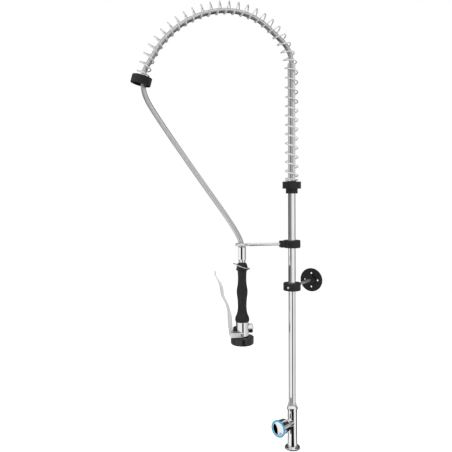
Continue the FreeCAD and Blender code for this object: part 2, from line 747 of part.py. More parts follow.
def knob():
    """Spindle, turning disc and the knob with its index ring, cap and screw."""
    disc_start = POCKET_START + DISC_SEAL_THICKNESS + DISC_THICKNESS + RUNNING_GAP
    foot_start = disc_start + DISC_THICKNESS
    seat = KNOB_FACE - CAP_POCKET
    web_back = seat - KNOB_WEB
    hub_back = web_back - KNOB_HUB_LENGTH
    spindle = cylinder(SPINDLE_FOOT_RADIUS, foot_start, foot_start + SPINDLE_FOOT_LENGTH,
                       KNOB_ORIGIN, KNOB_AXIS)
    spindle = spindle.fuse(cylinder(SPINDLE_RADIUS, foot_start, hub_back, KNOB_ORIGIN, KNOB_AXIS))
    half = SPINDLE_SQUARE / 2
    square = Part.makeBox(SPINDLE_SQUARE, SPINDLE_SQUARE, KNOB_HUB_LENGTH,
                          FreeCAD.Vector(-half, -half, hub_back))
    spindle = spindle.fuse(placed(square, KNOB_ORIGIN, KNOB_AXIS))
    for place in SPINDLE_ORING_PLACES:
        spindle = spindle.cut(oring_groove(SPINDLE_RADIUS, place, KNOB_ORIGIN, KNOB_AXIS))
    spindle = spindle.cut(cylinder(KNOB_SCREW_RADIUS + FIXED_GAP, seat - KNOB_SCREW_LENGTH - 1,
                                   seat, KNOB_ORIGIN, KNOB_AXIS))
    orings = Part.makeCompound([oring(SPINDLE_RADIUS, place, KNOB_ORIGIN, KNOB_AXIS)
                                for place in SPINDLE_ORING_PLACES])
    ring_inner = INDEX_RING_OUTER - INDEX_RING_WIDTH
    shell = turned([
        (KNOB_BACK_RADIUS - KNOB_WALL, KNOB_BACK),
        (KNOB_BACK_RADIUS, KNOB_BACK),
        (KNOB_WAIST_RADIUS, KNOB_WAIST),
        (KNOB_FACE_RADIUS, KNOB_FACE - KNOB_WALL),
        (KNOB_FACE_RADIUS, KNOB_FACE),
        (ring_inner, KNOB_FACE),
        (ring_inner, seat),
        (KNOB_SCREW_RADIUS + FIXED_GAP, seat),
        (KNOB_SCREW_RADIUS + FIXED_GAP, hub_back),
        (KNOB_HUB_RADIUS, hub_back),
        (KNOB_HUB_RADIUS, web_back),
        (KNOB_FACE_RADIUS - 2 * KNOB_WALL, web_back),
        (KNOB_WAIST_RADIUS - KNOB_WALL, KNOB_WAIST),
    ], KNOB_ORIGIN, KNOB_AXIS)
    socket_side = SPINDLE_SQUARE + 2 * RUNNING_GAP
    socket = Part.makeBox(socket_side, socket_side, KNOB_HUB_LENGTH + 1,
                          FreeCAD.Vector(-socket_side / 2, -socket_side / 2, hub_back - 1))
    shell = shell.cut(placed(socket, KNOB_ORIGIN, KNOB_AXIS))
    index_ring = tube(INDEX_RING_OUTER, ring_inner, KNOB_FACE, KNOB_FRONT)
    index_ring = rounded(index_ring, INDEX_RING_ROUNDING,
                         lambda edge: is_rim(edge, INDEX_RING_OUTER, KNOB_FRONT)
                         or is_rim(edge, ring_inner, KNOB_FRONT))
    cap_radius = ring_inner - FIXED_GAP
    rim = KNOB_FACE + CAP_RIM_HEIGHT
    recess = KNOB_SCREW_HEAD_RADIUS + 1
    recess_top = seat + KNOB_SCREW_HEAD_HEIGHT + FACE_GAP
    cap = cylinder(cap_radius, seat, rim, KNOB_ORIGIN, KNOB_AXIS)
    cap = cap.cut(cylinder(recess, seat - 1, recess_top, KNOB_ORIGIN, KNOB_AXIS))
    dish_radius = ((cap_radius - 1) ** 2 + CAP_DISH ** 2) / (2 * CAP_DISH)
    dish_centre = KNOB_ORIGIN + KNOB_AXIS * (rim - CAP_DISH + dish_radius)
    cap = cap.cut(Part.makeSphere(dish_radius, dish_centre))
    screw = cylinder(KNOB_SCREW_RADIUS, seat - KNOB_SCREW_LENGTH, seat, KNOB_ORIGIN, KNOB_AXIS)
    screw = screw.fuse(cylinder(KNOB_SCREW_HEAD_RADIUS, seat, seat + KNOB_SCREW_HEAD_HEIGHT,
                                KNOB_ORIGIN, KNOB_AXIS))
    return {
        "spindle": spindle,
        "turning_disc": ceramic_disc(disc_start),
        "spindle_orings": orings,
        "knob_shell": shell,
        "index_ring": placed(index_ring, KNOB_ORIGIN, KNOB_AXIS),
        "knob_cap": cap,
        "knob_screw": screw,
    }


def riser():
    """Pipe with its brazed tail ring, the washer below it and the union nut over both."""
    washer_bottom = BODY_HEIGHT + SPIGOT_HEIGHT
    pipe_bottom = washer_bottom + RISER_WASHER_THICKNESS
    ring_top = pipe_bottom + TAIL_RING_HEIGHT
    nut_bottom = BODY_HEIGHT + FIXED_GAP
    nut_top = BODY_HEIGHT + UNION_HEIGHT
    thread = SPIGOT_RADIUS + FIXED_GAP
    mouth = RISER_RADIUS + FIXED_GAP
    nut = turned([
        (thread, nut_bottom),
        (UNION_FOOT_RADIUS, nut_bottom),
        (UNION_RADIUS, BODY_HEIGHT + UNION_SHOULDER),
        (UNION_RADIUS, BODY_HEIGHT + UNION_BELT),
        (UNION_TOP_RADIUS, nut_top, UNION_WAIST_RADIUS, BODY_HEIGHT + UNION_WAIST),
        (mouth, nut_top),
        (mouth, ring_top + FIXED_GAP),
        (thread, ring_top + FIXED_GAP),
    ])
    return {
        "riser_pipe": tube(RISER_RADIUS, RISER_BORE, pipe_bottom, RISER_TOP),
        "riser_tail_ring": tube(TAIL_RING_RADIUS, RISER_RADIUS, pipe_bottom, ring_top),
        "riser_washer": tube(TAIL_RING_RADIUS, SPIGOT_BORE, washer_bottom, pipe_bottom),
        "union_nut": nut,
    }


def hose_coupling():
    """Coupling fixed in the riser's top and the hose nut that turns on its stub."""
    stub_bottom = RISER_TOP + COUPLING_SHOULDER
    stub_top = stub_bottom + COUPLING_STUB
    coupling = cylinder(RISER_BORE - FIXED_GAP, RISER_TOP - COUPLING_PLUG, RISER_TOP)
    coupling = coupling.fuse(cylinder(COUPLING_RADIUS, RISER_TOP, stub_bottom))
    coupling = coupling.fuse(cylinder(COUPLING_STUB_RADIUS, stub_bottom, stub_top))
    coupling = coupling.cut(cylinder(COUPLING_BORE, RISER_TOP - COUPLING_PLUG - 1, stub_top + 1))
    places = [stub_bottom + place for place in STUB_ORING_PLACES]
    for place in places:
        coupling = coupling.cut(oring_groove(COUPLING_STUB_RADIUS, place))
    orings = Part.makeCompound([oring(COUPLING_STUB_RADIUS, place) for place in places])
    nut_bottom = stub_bottom + FACE_GAP
    nut_top = nut_bottom + HOSE_NUT_HEIGHT
    nut = cylinder(COUPLING_RADIUS, nut_bottom, nut_top)
    nut = rounded(nut, HOSE_NUT_ROUNDING, lambda edge: is_rim(edge, COUPLING_RADIUS, nut_top))
    nut = nut.fuse(cylinder(NIPPLE_RADIUS, nut_top, nut_top + NIPPLE_LENGTH))
    nut = nut.cut(cylinder(COUPLING_STUB_RADIUS + RUNNING_GAP, nut_bottom - 1, stub_top + FACE_GAP))
    nut = nut.cut(cylinder(COUPLING_BORE - 1, nut_bottom, nut_top + NIPPLE_LENGTH + 1))
    return {"hose_coupling": coupling, "coupling_orings": orings, "hose_nut": nut}


def riser_clamp(radius, length, boss, rod_radius, origin, axis):
    """Ring on the riser with a square boss that holds a rod, and the holes of its two screws."""
    reach, width, height, screw_place = boss
    half = length / 2
    ring = cylinder(radius, -half, half)
    ring = rounded(ring, CLAMP_ROUNDING,
                   lambda edge: is_rim(edge, radius, -half) or is_rim(edge, radius, half))
    block = Part.makeBox(reach, width, height, FreeCAD.Vector(0, -width / 2, -height / 2))
    block = rounded(block, CLAMP_BOSS_ROUNDING, lambda edge: edge.CenterOfMass.x > 1)
    clamp = ring.fuse(block)
    clamp.Placement = FreeCAD.Placement(origin, FreeCAD.Rotation(ALONG_X, axis))
    cuts = [
        cylinder(RISER_RADIUS + RUNNING_GAP, -length, length, origin),
        cylinder(rod_radius, RISER_RADIUS, reach + 1, origin, axis),
        cylinder(GRUB_RADIUS + FIXED_GAP, 0, radius + 1, origin, axis * -1),
        cylinder(SMALL_GRUB_RADIUS + FIXED_GAP, 0, height, origin + axis * screw_place),
    ]
    for cut in cuts:
        clamp = clamp.cut(cut)
    return clamp


def wall_bracket():
    """Clamp on the riser, rod and wall flange, with their screws."""
    rod_hole = WALL_ROD_RADIUS + RUNNING_GAP
    front = WALL_AXIS * -1
    boss_screw_place = (WALL_CLAMP_RADIUS + WALL_BOSS_REACH) / 2
    clamp = riser_clamp(WALL_CLAMP_RADIUS, WALL_CLAMP_LENGTH,
                        (WALL_BOSS_REACH, WALL_BOSS_WIDTH, WALL_BOSS_HEIGHT, boss_screw_place),
                        rod_hole, WALL_ORIGIN, WALL_AXIS)
    clamp_screw = grub_screw(GRUB_RADIUS, GRUB_SOCKET, RISER_RADIUS + FACE_GAP,
                             WALL_CLAMP_RADIUS + 2 * FACE_GAP, WALL_ORIGIN, front)
    boss_screw = grub_screw(SMALL_GRUB_RADIUS, SMALL_GRUB_SOCKET, WALL_ROD_RADIUS + FACE_GAP,
                            WALL_BOSS_HEIGHT / 2, WALL_ORIGIN + WALL_AXIS * boss_screw_place, UP)
    flange_back = WALL_FACE_REACH
    flange_front = flange_back - WALL_FLANGE_THICKNESS
    block_front = flange_front - WALL_BLOCK_LENGTH
    flange = cylinder(WALL_FLANGE_RADIUS, flange_front, flange_back)
    flange = rounded(flange, WALL_FLANGE_ROUNDING,
                     lambda edge: is_rim(edge, WALL_FLANGE_RADIUS, flange_front))
    # The block stands on one corner, and the holes are above, below and beside it.
    half_block = WALL_BLOCK_SIDE / 2
    block = Part.makeBox(WALL_BLOCK_SIDE, WALL_BLOCK_SIDE, WALL_BLOCK_LENGTH,
                         FreeCAD.Vector(-half_block, -half_block, block_front))
    block = rounded(block, WALL_BLOCK_CORNER,
                    lambda edge: abs(edge.CenterOfMass.z - block_front - WALL_BLOCK_LENGTH / 2) < 0.1)
    block = rounded(block, WALL_BLOCK_ROUNDING,
                    lambda edge: abs(edge.CenterOfMass.z - block_front) < 0.1)
    block.rotate(ORIGIN, UP, 45 + WALL_AZIMUTH)
    flange = flange.fuse(block)
    flange = flange.cut(cylinder(rod_hole, block_front - 1, flange_back - 1))
    for i in range(4):
        hole = heading(90 * i + WALL_AZIMUTH) * WALL_HOLE_CIRCLE
        flange = flange.cut(cylinder(WALL_HOLE_RADIUS, flange_front - 1, flange_back + 1, hole))
        sink = Part.makeCone(WALL_HOLE_SINK, WALL_HOLE_RADIUS, WALL_HOLE_SINK - WALL_HOLE_RADIUS,
                             hole + UP * flange_front, UP)
        flange = flange.cut(sink)
    flange = placed(flange, WALL_ORIGIN, WALL_AXIS)
    screw_place = block_front + WALL_BLOCK_LENGTH / 2
    screw_origin = WALL_ORIGIN + WALL_AXIS * screw_place
    flange = flange.cut(cylinder(SMALL_GRUB_RADIUS + FIXED_GAP, 0, 2 * WALL_BLOCK_SIDE,
                                 screw_origin))
    corner_reach = half_block * math.sqrt(2) - WALL_BLOCK_CORNER * (math.sqrt(2) - 1)
    flange_screw = grub_screw(SMALL_GRUB_RADIUS, SMALL_GRUB_SOCKET, WALL_ROD_RADIUS + FIXED_GAP,
                              corner_reach - 1, screw_origin, UP)
    rod = cylinder(WALL_ROD_RADIUS, WALL_ROD_START, flange_back - 1 - FIXED_GAP,
                   WALL_ORIGIN, WALL_AXIS)
    return {
        "wall_clamp": clamp,
        "wall_clamp_screws": Part.makeCompound([clamp_screw, boss_screw]),
        "wall_rod": rod,
        "wall_flange": flange,
        "wall_flange_screw": flange_screw,
    }


def hook_arm():
    """Clamp on the riser and the wire arm bent to an open eye round the hose."""
    arm_origin = FreeCAD.Vector(0, 0, ARM_HEIGHT)
    outwards = ALONG_X * -1
    boss_screw_place = ARM_BOSS_REACH - ARM_SCREW_INSET
    clamp = riser_clamp(ARM_CLAMP_RADIUS, ARM_CLAMP_LENGTH,
                        (ARM_BOSS_REACH, ARM_BOSS_WIDTH, ARM_BOSS_HEIGHT, boss_screw_place),
                        ARM_WIRE_RADIUS + FIXED_GAP, arm_origin, outwards)
    clamp_screw = grub_screw(GRUB_RADIUS, GRUB_SOCKET, RISER_RADIUS + FACE_GAP,
                             ARM_CLAMP_RADIUS, arm_origin, ALONG_X)
    boss_screw = grub_screw(SMALL_GRUB_RADIUS, SMALL_GRUB_SOCKET, ARM_WIRE_RADIUS + FIXED_GAP,
                            ARM_BOSS_HEIGHT / 2, arm_origin + outwards * boss_screw_place, UP)
    # The wire leaves the clamp straight, swings to the front and loops round the hose.
    swing = EYE_RADIUS
    bend_offset = math.sqrt((swing + EYE_RADIUS) ** 2 - swing ** 2)
    eye = FreeCAD.Vector(-EYE_REACH, 0, ARM_HEIGHT)
    bend_centre = FreeCAD.Vector(-EYE_REACH + bend_offset, -swing, ARM_HEIGHT)
    meeting_angle = math.degrees(math.atan2(-swing, bend_offset))
    bend_start = bend_centre + ALONG_Y * swing
    bend_middle = bend_centre + heading((90 + meeting_angle + 180) / 2) * swing
    meeting = eye + heading(meeting_angle) * EYE_RADIUS
    loop = EYE_END_ANGLE - 360 - meeting_angle
    far = eye + heading(meeting_angle + loop / 2) * EYE_RADIUS
    end = eye + heading(EYE_END_ANGLE) * EYE_RADIUS
    arm = swept([
        Part.LineSegment(arm_origin + outwards * ARM_START, bend_start).toShape(),
        Part.Arc(bend_start, bend_middle, meeting).toShape(),
        Part.Arc(meeting, far, end).toShape(),
    ], ARM_WIRE_RADIUS)
    return {
        "arm_clamp": clamp,
        "arm_clamp_screws": Part.makeCompound([clamp_screw, boss_screw]),
        "hook_arm": arm,
    }


def spring_seat():
    """Disc that carries the spring, the collar under it and the collar's screw."""
    bore = RISER_RADIUS + RUNNING_GAP
    seat_top = SEAT_BOTTOM + SEAT_HEIGHT
    seat = cylinder(SEAT_RADIUS, SEAT_BOTTOM, seat_top)
    seat = rounded(seat, SEAT_ROUNDING,
                   lambda edge: is_rim(edge, SEAT_RADIUS, SEAT_BOTTOM)
                   or is_rim(edge, SEAT_RADIUS, seat_top))
    seat = seat.fuse(cylinder(SEAT_HUB_RADIUS, seat_top, seat_top + SEAT_HUB_HEIGHT))
    seat = seat.cut(cylinder(bore, SEAT_BOTTOM - 1, seat_top + SEAT_HUB_HEIGHT + 1))
    collar_bottom = SEAT_BOTTOM - COLLAR_HEIGHT
    collar = cylinder(COLLAR_RADIUS, collar_bottom, SEAT_BOTTOM)
    collar = rounded(collar, SEAT_ROUNDING, lambda edge: is_rim(edge, COLLAR_RADIUS, collar_bottom))
    collar = collar.cut(cylinder(bore, collar_bottom - 1, SEAT_BOTTOM + 1))
    screw_origin = FreeCAD.Vector(0, 0, collar_bottom + COLLAR_HEIGHT / 2)
    collar = collar.cut(cylinder(GRUB_RADIUS + FIXED_GAP, 0, COLLAR_RADIUS + 1,
                                 screw_origin, ALONG_Y))
    screw = grub_screw(GRUB_RADIUS, GRUB_SOCKET, RISER_RADIUS + FACE_GAP, COLLAR_RADIUS,
                       screw_origin, ALONG_Y)
    return {"spring_seat": seat, "seat_collar": collar, "collar_screw": screw}


def arch_trail():
    """Centreline of the spring, from its seat on the riser to the end nut."""
    trail = Trail(0, SEAT_BOTTOM + SEAT_HEIGHT)
    trail.straight(ARCH_START - SEAT_BOTTOM - SEAT_HEIGHT)
    trail.bend(ARCH_RISE_RADIUS, ARCH_RISE_ANGLE)
    trail.bend(ARCH_FALL_RADIUS, ARCH_FALL_ANGLE)
    trail.straight(ARCH_END_LENGTH)
    return trail


def end_frame():
    """Origin and outward axis of the end nut, where the spring ends."""
    trail = arch_trail()
    angle = math.radians(trail.angle)
    return in_arch(trail.reach, trail.height), in_arch(math.cos(angle), math.sin(angle))


def spring_places():
    """Distances along the arch at each quarter turn, close at the ends and open between."""
    first = SPRING_WIRE_RADIUS + FACE_GAP
    last = arch_trail().length + END_NUT_SEAT - SPRING_WIRE_RADIUS - FACE_GAP
    quarters = round(4 * SPRING_TURNS)
    weights = []
    for i in range(quarters):
        turn = i / 4
        turns_left = (quarters - 1 - i) / 4
        opened = min(1, max(0, min(turn - SPRING_FOOT_CLOSED, turns_left - SPRING_END_CLOSED)))
        if turn < SPRING_RISER_TURNS:
            weights.append(opened)
        elif turn < SPRING_RISER_TURNS + SPRING_BEND_TURNS:
            weights.append(opened * SPRING_BEND_PITCH)
        else:
            weights.append(opened * SPRING_ARCH_PITCH)
    closed = SPRING_CLOSED_PITCH / 4
    opening = (last - first - quarters * closed) / sum(weights)
    places = [first]
    for weight in weights:
        places.append(places[-1] + closed + weight * opening)
    return places


def arch_spring():
    """The big open spring, left-handed, one unbroken wire from the seat to the end nut."""
    trail = arch_trail()
    places = spring_places()
    points = []
    for i, place in enumerate(places):
        points.append(spring_point(trail, place, SPRING_PHASE + 90 * i))
    directions = []
    for i, place in enumerate(places):
        before = places[max(i - 1, 0)]
        after = places[min(i + 1, len(places) - 1)]
        pitch_per_degree = (after - before) / (90 * (min(i + 1, len(places) - 1) - max(i - 1, 0)))
        step = 0.5
        ahead = spring_point(trail, place + pitch_per_degree * step, SPRING_PHASE + 90 * i + step)
        behind = spring_point(trail, place - pitch_per_degree * step, SPRING_PHASE + 90 * i - step)
        direction = ahead - behind
        direction.normalize()
        directions.append(direction)
    spring, edges = coil(points, directions, 2 * SPRING_WIRE_RADIUS, SPRING_WIRE_RADIUS)
    print("spring least gap to itself", round(least_gap(edges, SPRING_WIRE_RADIUS, 12), 2))
    length = sum(edge.Length for edge in edges)
    print("spring volume ratio", round(spring.Volume / (length * math.pi * SPRING_WIRE_RADIUS ** 2), 4))
    return {"arch_spring": spring}


def spring_point(trail, place, phase):
    """Point of the coil at a distance along the trail and an angle round it."""
    reach, height, angle = trail.at(min(max(place, 0), trail.length))
    beyond = place - min(max(place, 0), trail.length)
    phase = math.radians(phase)
    out = SPRING_COIL_RADIUS * math.cos(phase)
    side = SPRING_COIL_RADIUS * math.sin(phase)
    reach += beyond * math.cos(angle) + out * math.sin(angle)
    height += beyond * math.sin(angle) - out * math.cos(angle)
    return FreeCAD.Vector(-reach, side, height)


def held_hose_trail():
    """Hose from the hose nut, along the inner side of the spring and down through the end nut."""
    start = RISER_TOP + COUPLING_SHOULDER + FACE_GAP + HOSE_NUT_HEIGHT
    rise = ARCH_RISE_RADIUS - HOSE_INWARD
    fall = ARCH_FALL_RADIUS - HOSE_INWARD
    # A straight run touches both the first bend and the circle inside the spring.
    across = ARCH_RISE_RADIUS - HOSE_RISE_RADIUS
    down = start - ARCH_START
    first_turn = math.asin((rise - HOSE_RISE_RADIUS) / math.hypot(across, down))
    first_angle = math.degrees(first_turn - math.atan2(down, across))
    trail = Trail(0, start)
    trail.bend(HOSE_RISE_RADIUS, 90 - first_angle)
    trail.straight(math.sqrt(across ** 2 + down ** 2 - (rise - HOSE_RISE_RADIUS) ** 2))
    trail.bend(rise, first_angle + ARCH_RISE_ANGLE - 90)
    trail.bend(fall, HOSE_LEAVE_ANGLE - ARCH_RISE_ANGLE + 90)
    trail.straight(HOSE_LEAVE_LENGTH)
    trail.bend(HOSE_DROP_RADIUS, HOSE_DROP_ANGLE - HOSE_LEAVE_ANGLE)
    return trail


def hoses():
    """The hose that the spring holds and the free hose from the end nut to the gun."""
    trail = held_hose_trail()
    held_edges = trail.edges()
    held = swept(held_edges, HOSE_RADIUS).cut(swept(held_edges, HOSE_BORE))
    route = [in_arch(trail.reach, trail.height)]
    route += [in_arch(reach, height) for reach, height in FREE_HOSE_ROUTE]
    free_edges, radii = route_edges(route)
    free = swept(free_edges, HOSE_RADIUS).cut(swept(free_edges, HOSE_BORE))
    print("free hose exit", route[0], "heading", trail.angle)
    print("free hose arc radii", [round(radius) for radius in radii])
    section = math.pi * (HOSE_RADIUS ** 2 - HOSE_BORE ** 2)
    for name, hose, edges in (("held", held, held_edges), ("free", free, free_edges)):
        length = sum(edge.Length for edge in edges)
        print(name, "hose length", round(length, 1), "ratio", round(hose.Volume / section / length, 5))
    return {"held_hose": held, "free_hose": free}


def end_nut():
    """Nut on the spring's end and the rubber bush that holds the hose in it."""
    origin, axis = end_frame()
    length = END_NUT_LENGTH
    bevel = END_NUT_BEVEL
    seat_radius = SPRING_COIL_RADIUS + SPRING_WIRE_RADIUS + FACE_GAP
    nut = turned([
        (END_NUT_BORE, END_NUT_SEAT),
        (seat_radius, END_NUT_SEAT),
        (seat_radius, 0),
        (END_NUT_RADIUS - bevel, 0),
        (END_NUT_RADIUS, bevel),
        (END_NUT_RADIUS, length - bevel),
        (END_NUT_RADIUS - bevel, length),
        (END_NUT_RECESS, length),
        (END_NUT_RECESS, length - END_NUT_RECESS_DEPTH),
        (END_NUT_BORE, length - END_NUT_RECESS_DEPTH),
    ], origin, axis)
    trail = held_hose_trail()
    angle = math.radians(trail.angle)
    hose_end = in_arch(trail.reach, trail.height)
    hose_axis = in_arch(math.cos(angle), math.sin(angle))
    bush = cylinder(END_NUT_BORE - FIXED_GAP, END_BUSH_START, END_BUSH_START + END_BUSH_LENGTH,
                    origin, axis)
    hose_room = HOSE_RADIUS + FACE_GAP
    bush = bush.cut(swept(trail.edges()[-2:], hose_room))
    bush = bush.cut(cylinder(hose_room, 0, END_NUT_LENGTH, hose_end, hose_axis))
    return {"end_nut": nut, "end_bush": bush}


def gun_swivel():
    """Hose ferrule with its tail, its O-rings and clip, and the sleeve that turns on it."""
    tail = cylinder(TAIL_HEAD_RADIUS, SLEEVE_FLOOR + FACE_GAP, HOSE_END, GUN_ORIGIN)
    tail = tail.fuse(cylinder(TAIL_RADIUS, TAIL_BOTTOM, HOSE_END, GUN_ORIGIN))
    nipple_top = HOSE_END + (FREE_HOSE_ROUTE[-2][1] - HOSE_END) / 2
    tail = tail.fuse(cylinder(HOSE_BORE - 2 * FIXED_GAP, HOSE_END, nipple_top, GUN_ORIGIN))
    tail = tail.cut(cylinder(COUPLING_BORE - 1, TAIL_BOTTOM - 1, nipple_top + 1, GUN_ORIGIN))
    places = [TAIL_BOTTOM + place for place in TAIL_ORING_PLACES]
    for place in places:
        tail = tail.cut(oring_groove(TAIL_RADIUS, place, GUN_ORIGIN))
    clip_top = CLIP_HEIGHT + CLIP_THICKNESS
    tail = tail.cut(tube(TAIL_RADIUS + 1, CLIP_GROOVE, CLIP_HEIGHT - FIXED_GAP,
                         clip_top + FIXED_GAP, GUN_ORIGIN))
    orings = Part.makeCompound([oring(TAIL_RADIUS, place, GUN_ORIGIN) for place in places])
    clip = tube(CLIP_RADIUS, CLIP_GROOVE, CLIP_HEIGHT, clip_top, GUN_ORIGIN)
    clip = clip.cut(Part.makeBox(CLIP_RADIUS * 2, CLIP_GAP_WIDTH, 4 * CLIP_THICKNESS,
                                 GUN_ORIGIN + FreeCAD.Vector(0, -CLIP_GAP_WIDTH / 2, CLIP_HEIGHT - 1)))
    sleeve = turned([
        (SLEEVE_BORE, SLEEVE_TOP),
        (SLEEVE_RADIUS - SLEEVE_EDGE, SLEEVE_TOP),
        (SLEEVE_RADIUS, SLEEVE_TOP - SLEEVE_EDGE),
        (SLEEVE_RADIUS, SLEEVE_SHOULDER),
        (SLEEVE_BOTTOM_RADIUS, SLEEVE_BOTTOM),
        (TAIL_RADIUS + RUNNING_GAP, SLEEVE_BOTTOM),
        (TAIL_RADIUS + RUNNING_GAP, SLEEVE_FLOOR),
        (SLEEVE_BORE, SLEEVE_FLOOR),
    ], GUN_ORIGIN)
    return {
        "swivel_tail": tail,
        "tail_orings": orings,
        "tail_clip": clip,
        "swivel_sleeve": sleeve,
    }


def gun_grip():
    """Collar with the ring's lug, contoured grip and the water tube inside both."""
    bore = TUBE_RADIUS + FIXED_GAP
    cavity_floor = TUBE_TOP + FACE_GAP
    flange_bottom = FLANGE_TOP - FLANGE_THICKNESS
    collar = turned([
        (bore, GRIP_COLLAR_BOTTOM),
        (GRIP_COLLAR_FOOT_RADIUS, GRIP_COLLAR_BOTTOM),
        (GRIP_COLLAR_RADIUS, flange_bottom - FLANGE_EDGE),
        (FLANGE_RADIUS - FLANGE_EDGE, flange_bottom),
        (FLANGE_RADIUS, flange_bottom + FLANGE_EDGE),
        (FLANGE_RADIUS, FLANGE_TOP - FLANGE_EDGE),
        (FLANGE_RADIUS - FLANGE_EDGE, FLANGE_TOP),
        (GRIP_COLLAR_RADIUS, FLANGE_TOP + FLANGE_EDGE),
        (GRIP_COLLAR_RADIUS, TUBE_TOP),
        (GRIP_COLLAR_TOP_RADIUS, GRIP_COLLAR_TOP,
         GRIP_COLLAR_RADIUS - GRIP_COLLAR_BULGE, TUBE_TOP + GRIP_COLLAR_DOME),
        (GRIP_COLLAR_CAVITY, GRIP_COLLAR_TOP),
        (GRIP_COLLAR_CAVITY, cavity_floor),
        (bore, cavity_floor),
    ], GUN_ORIGIN)
    lug_half = RING_HOLE_RADIUS + RING_HOLE_RIM
    lug_start = GRIP_COLLAR_RADIUS - 1
    lug_foot = GUN_ORIGIN + FreeCAD.Vector(lug_start, -RING_LUG_WIDTH / 2, RING_PIVOT_HEIGHT - lug_half)
    lug = Part.makeBox(RING_PIVOT_OFFSET + lug_half - lug_start, RING_LUG_WIDTH, 2 * lug_half, lug_foot)
    pivot = GUN_ORIGIN + FreeCAD.Vector(RING_PIVOT_OFFSET, 0, RING_PIVOT_HEIGHT)
    collar = collar.fuse(lug)
    collar = collar.cut(cylinder(RING_HOLE_RADIUS, -RING_LUG_WIDTH, RING_LUG_WIDTH, pivot, ALONG_Y))
    contour = Part.BSplineCurve()
    contour.interpolate([FreeCAD.Vector(radius, 0, GRIP_TOP - drop) for radius, drop in GRIP_CONTOUR])
    top_radius = GRIP_CONTOUR[0][0]
    low_radius, low_drop = GRIP_CONTOUR[-1]
    foot = FreeCAD.Vector(GRIP_FOOT_RADIUS, 0, GRIP_BOTTOM + GRIP_FOOT_ROUNDING)
    corner = FreeCAD.Vector(GRIP_FOOT_RADIUS - GRIP_FOOT_ROUNDING, 0, GRIP_BOTTOM)
    slant = GRIP_FOOT_ROUNDING * (1 - math.sqrt(0.5))
    shoulder = FreeCAD.Vector(GRIP_FOOT_RADIUS - slant, 0, GRIP_BOTTOM + slant)
    neck_bore = VALVE_NECK_RADIUS + FIXED_GAP
    inner = [
        corner,
        FreeCAD.Vector(neck_bore, 0, GRIP_BOTTOM),
        FreeCAD.Vector(neck_bore, 0, VALVE_NECK_TOP + FIXED_GAP),
        FreeCAD.Vector(bore, 0, VALVE_NECK_TOP + FIXED_GAP),
        FreeCAD.Vector(bore, 0, GRIP_TOP),
        FreeCAD.Vector(top_radius, 0, GRIP_TOP),
    ]
    edges = [
        contour.toShape(),
        Part.LineSegment(FreeCAD.Vector(low_radius, 0, GRIP_TOP - low_drop), foot).toShape(),
        Part.Arc(foot, shoulder, corner).toShape(),
    ]
    edges += [Part.LineSegment(a, b).toShape() for a, b in zip(inner, inner[1:])]
    grip = Part.Face(Part.Wire(edges)).revolve(ORIGIN, UP, 360)
    water_tube = tube(TUBE_RADIUS, TUBE_BORE, VALVE_TOP + TUBE_OVERLAP, TUBE_TOP, GUN_ORIGIN)
    water_tube = water_tube.cut(cylinder(TAIL_RADIUS + RUNNING_GAP, TAIL_BOTTOM - TUBE_SOCKET_DEPTH,
                                         TUBE_TOP + 1, GUN_ORIGIN))
    return {
        "grip_collar": collar,
        "grip": placed(grip, GUN_ORIGIN),
        "water_tube": water_tube,
    }


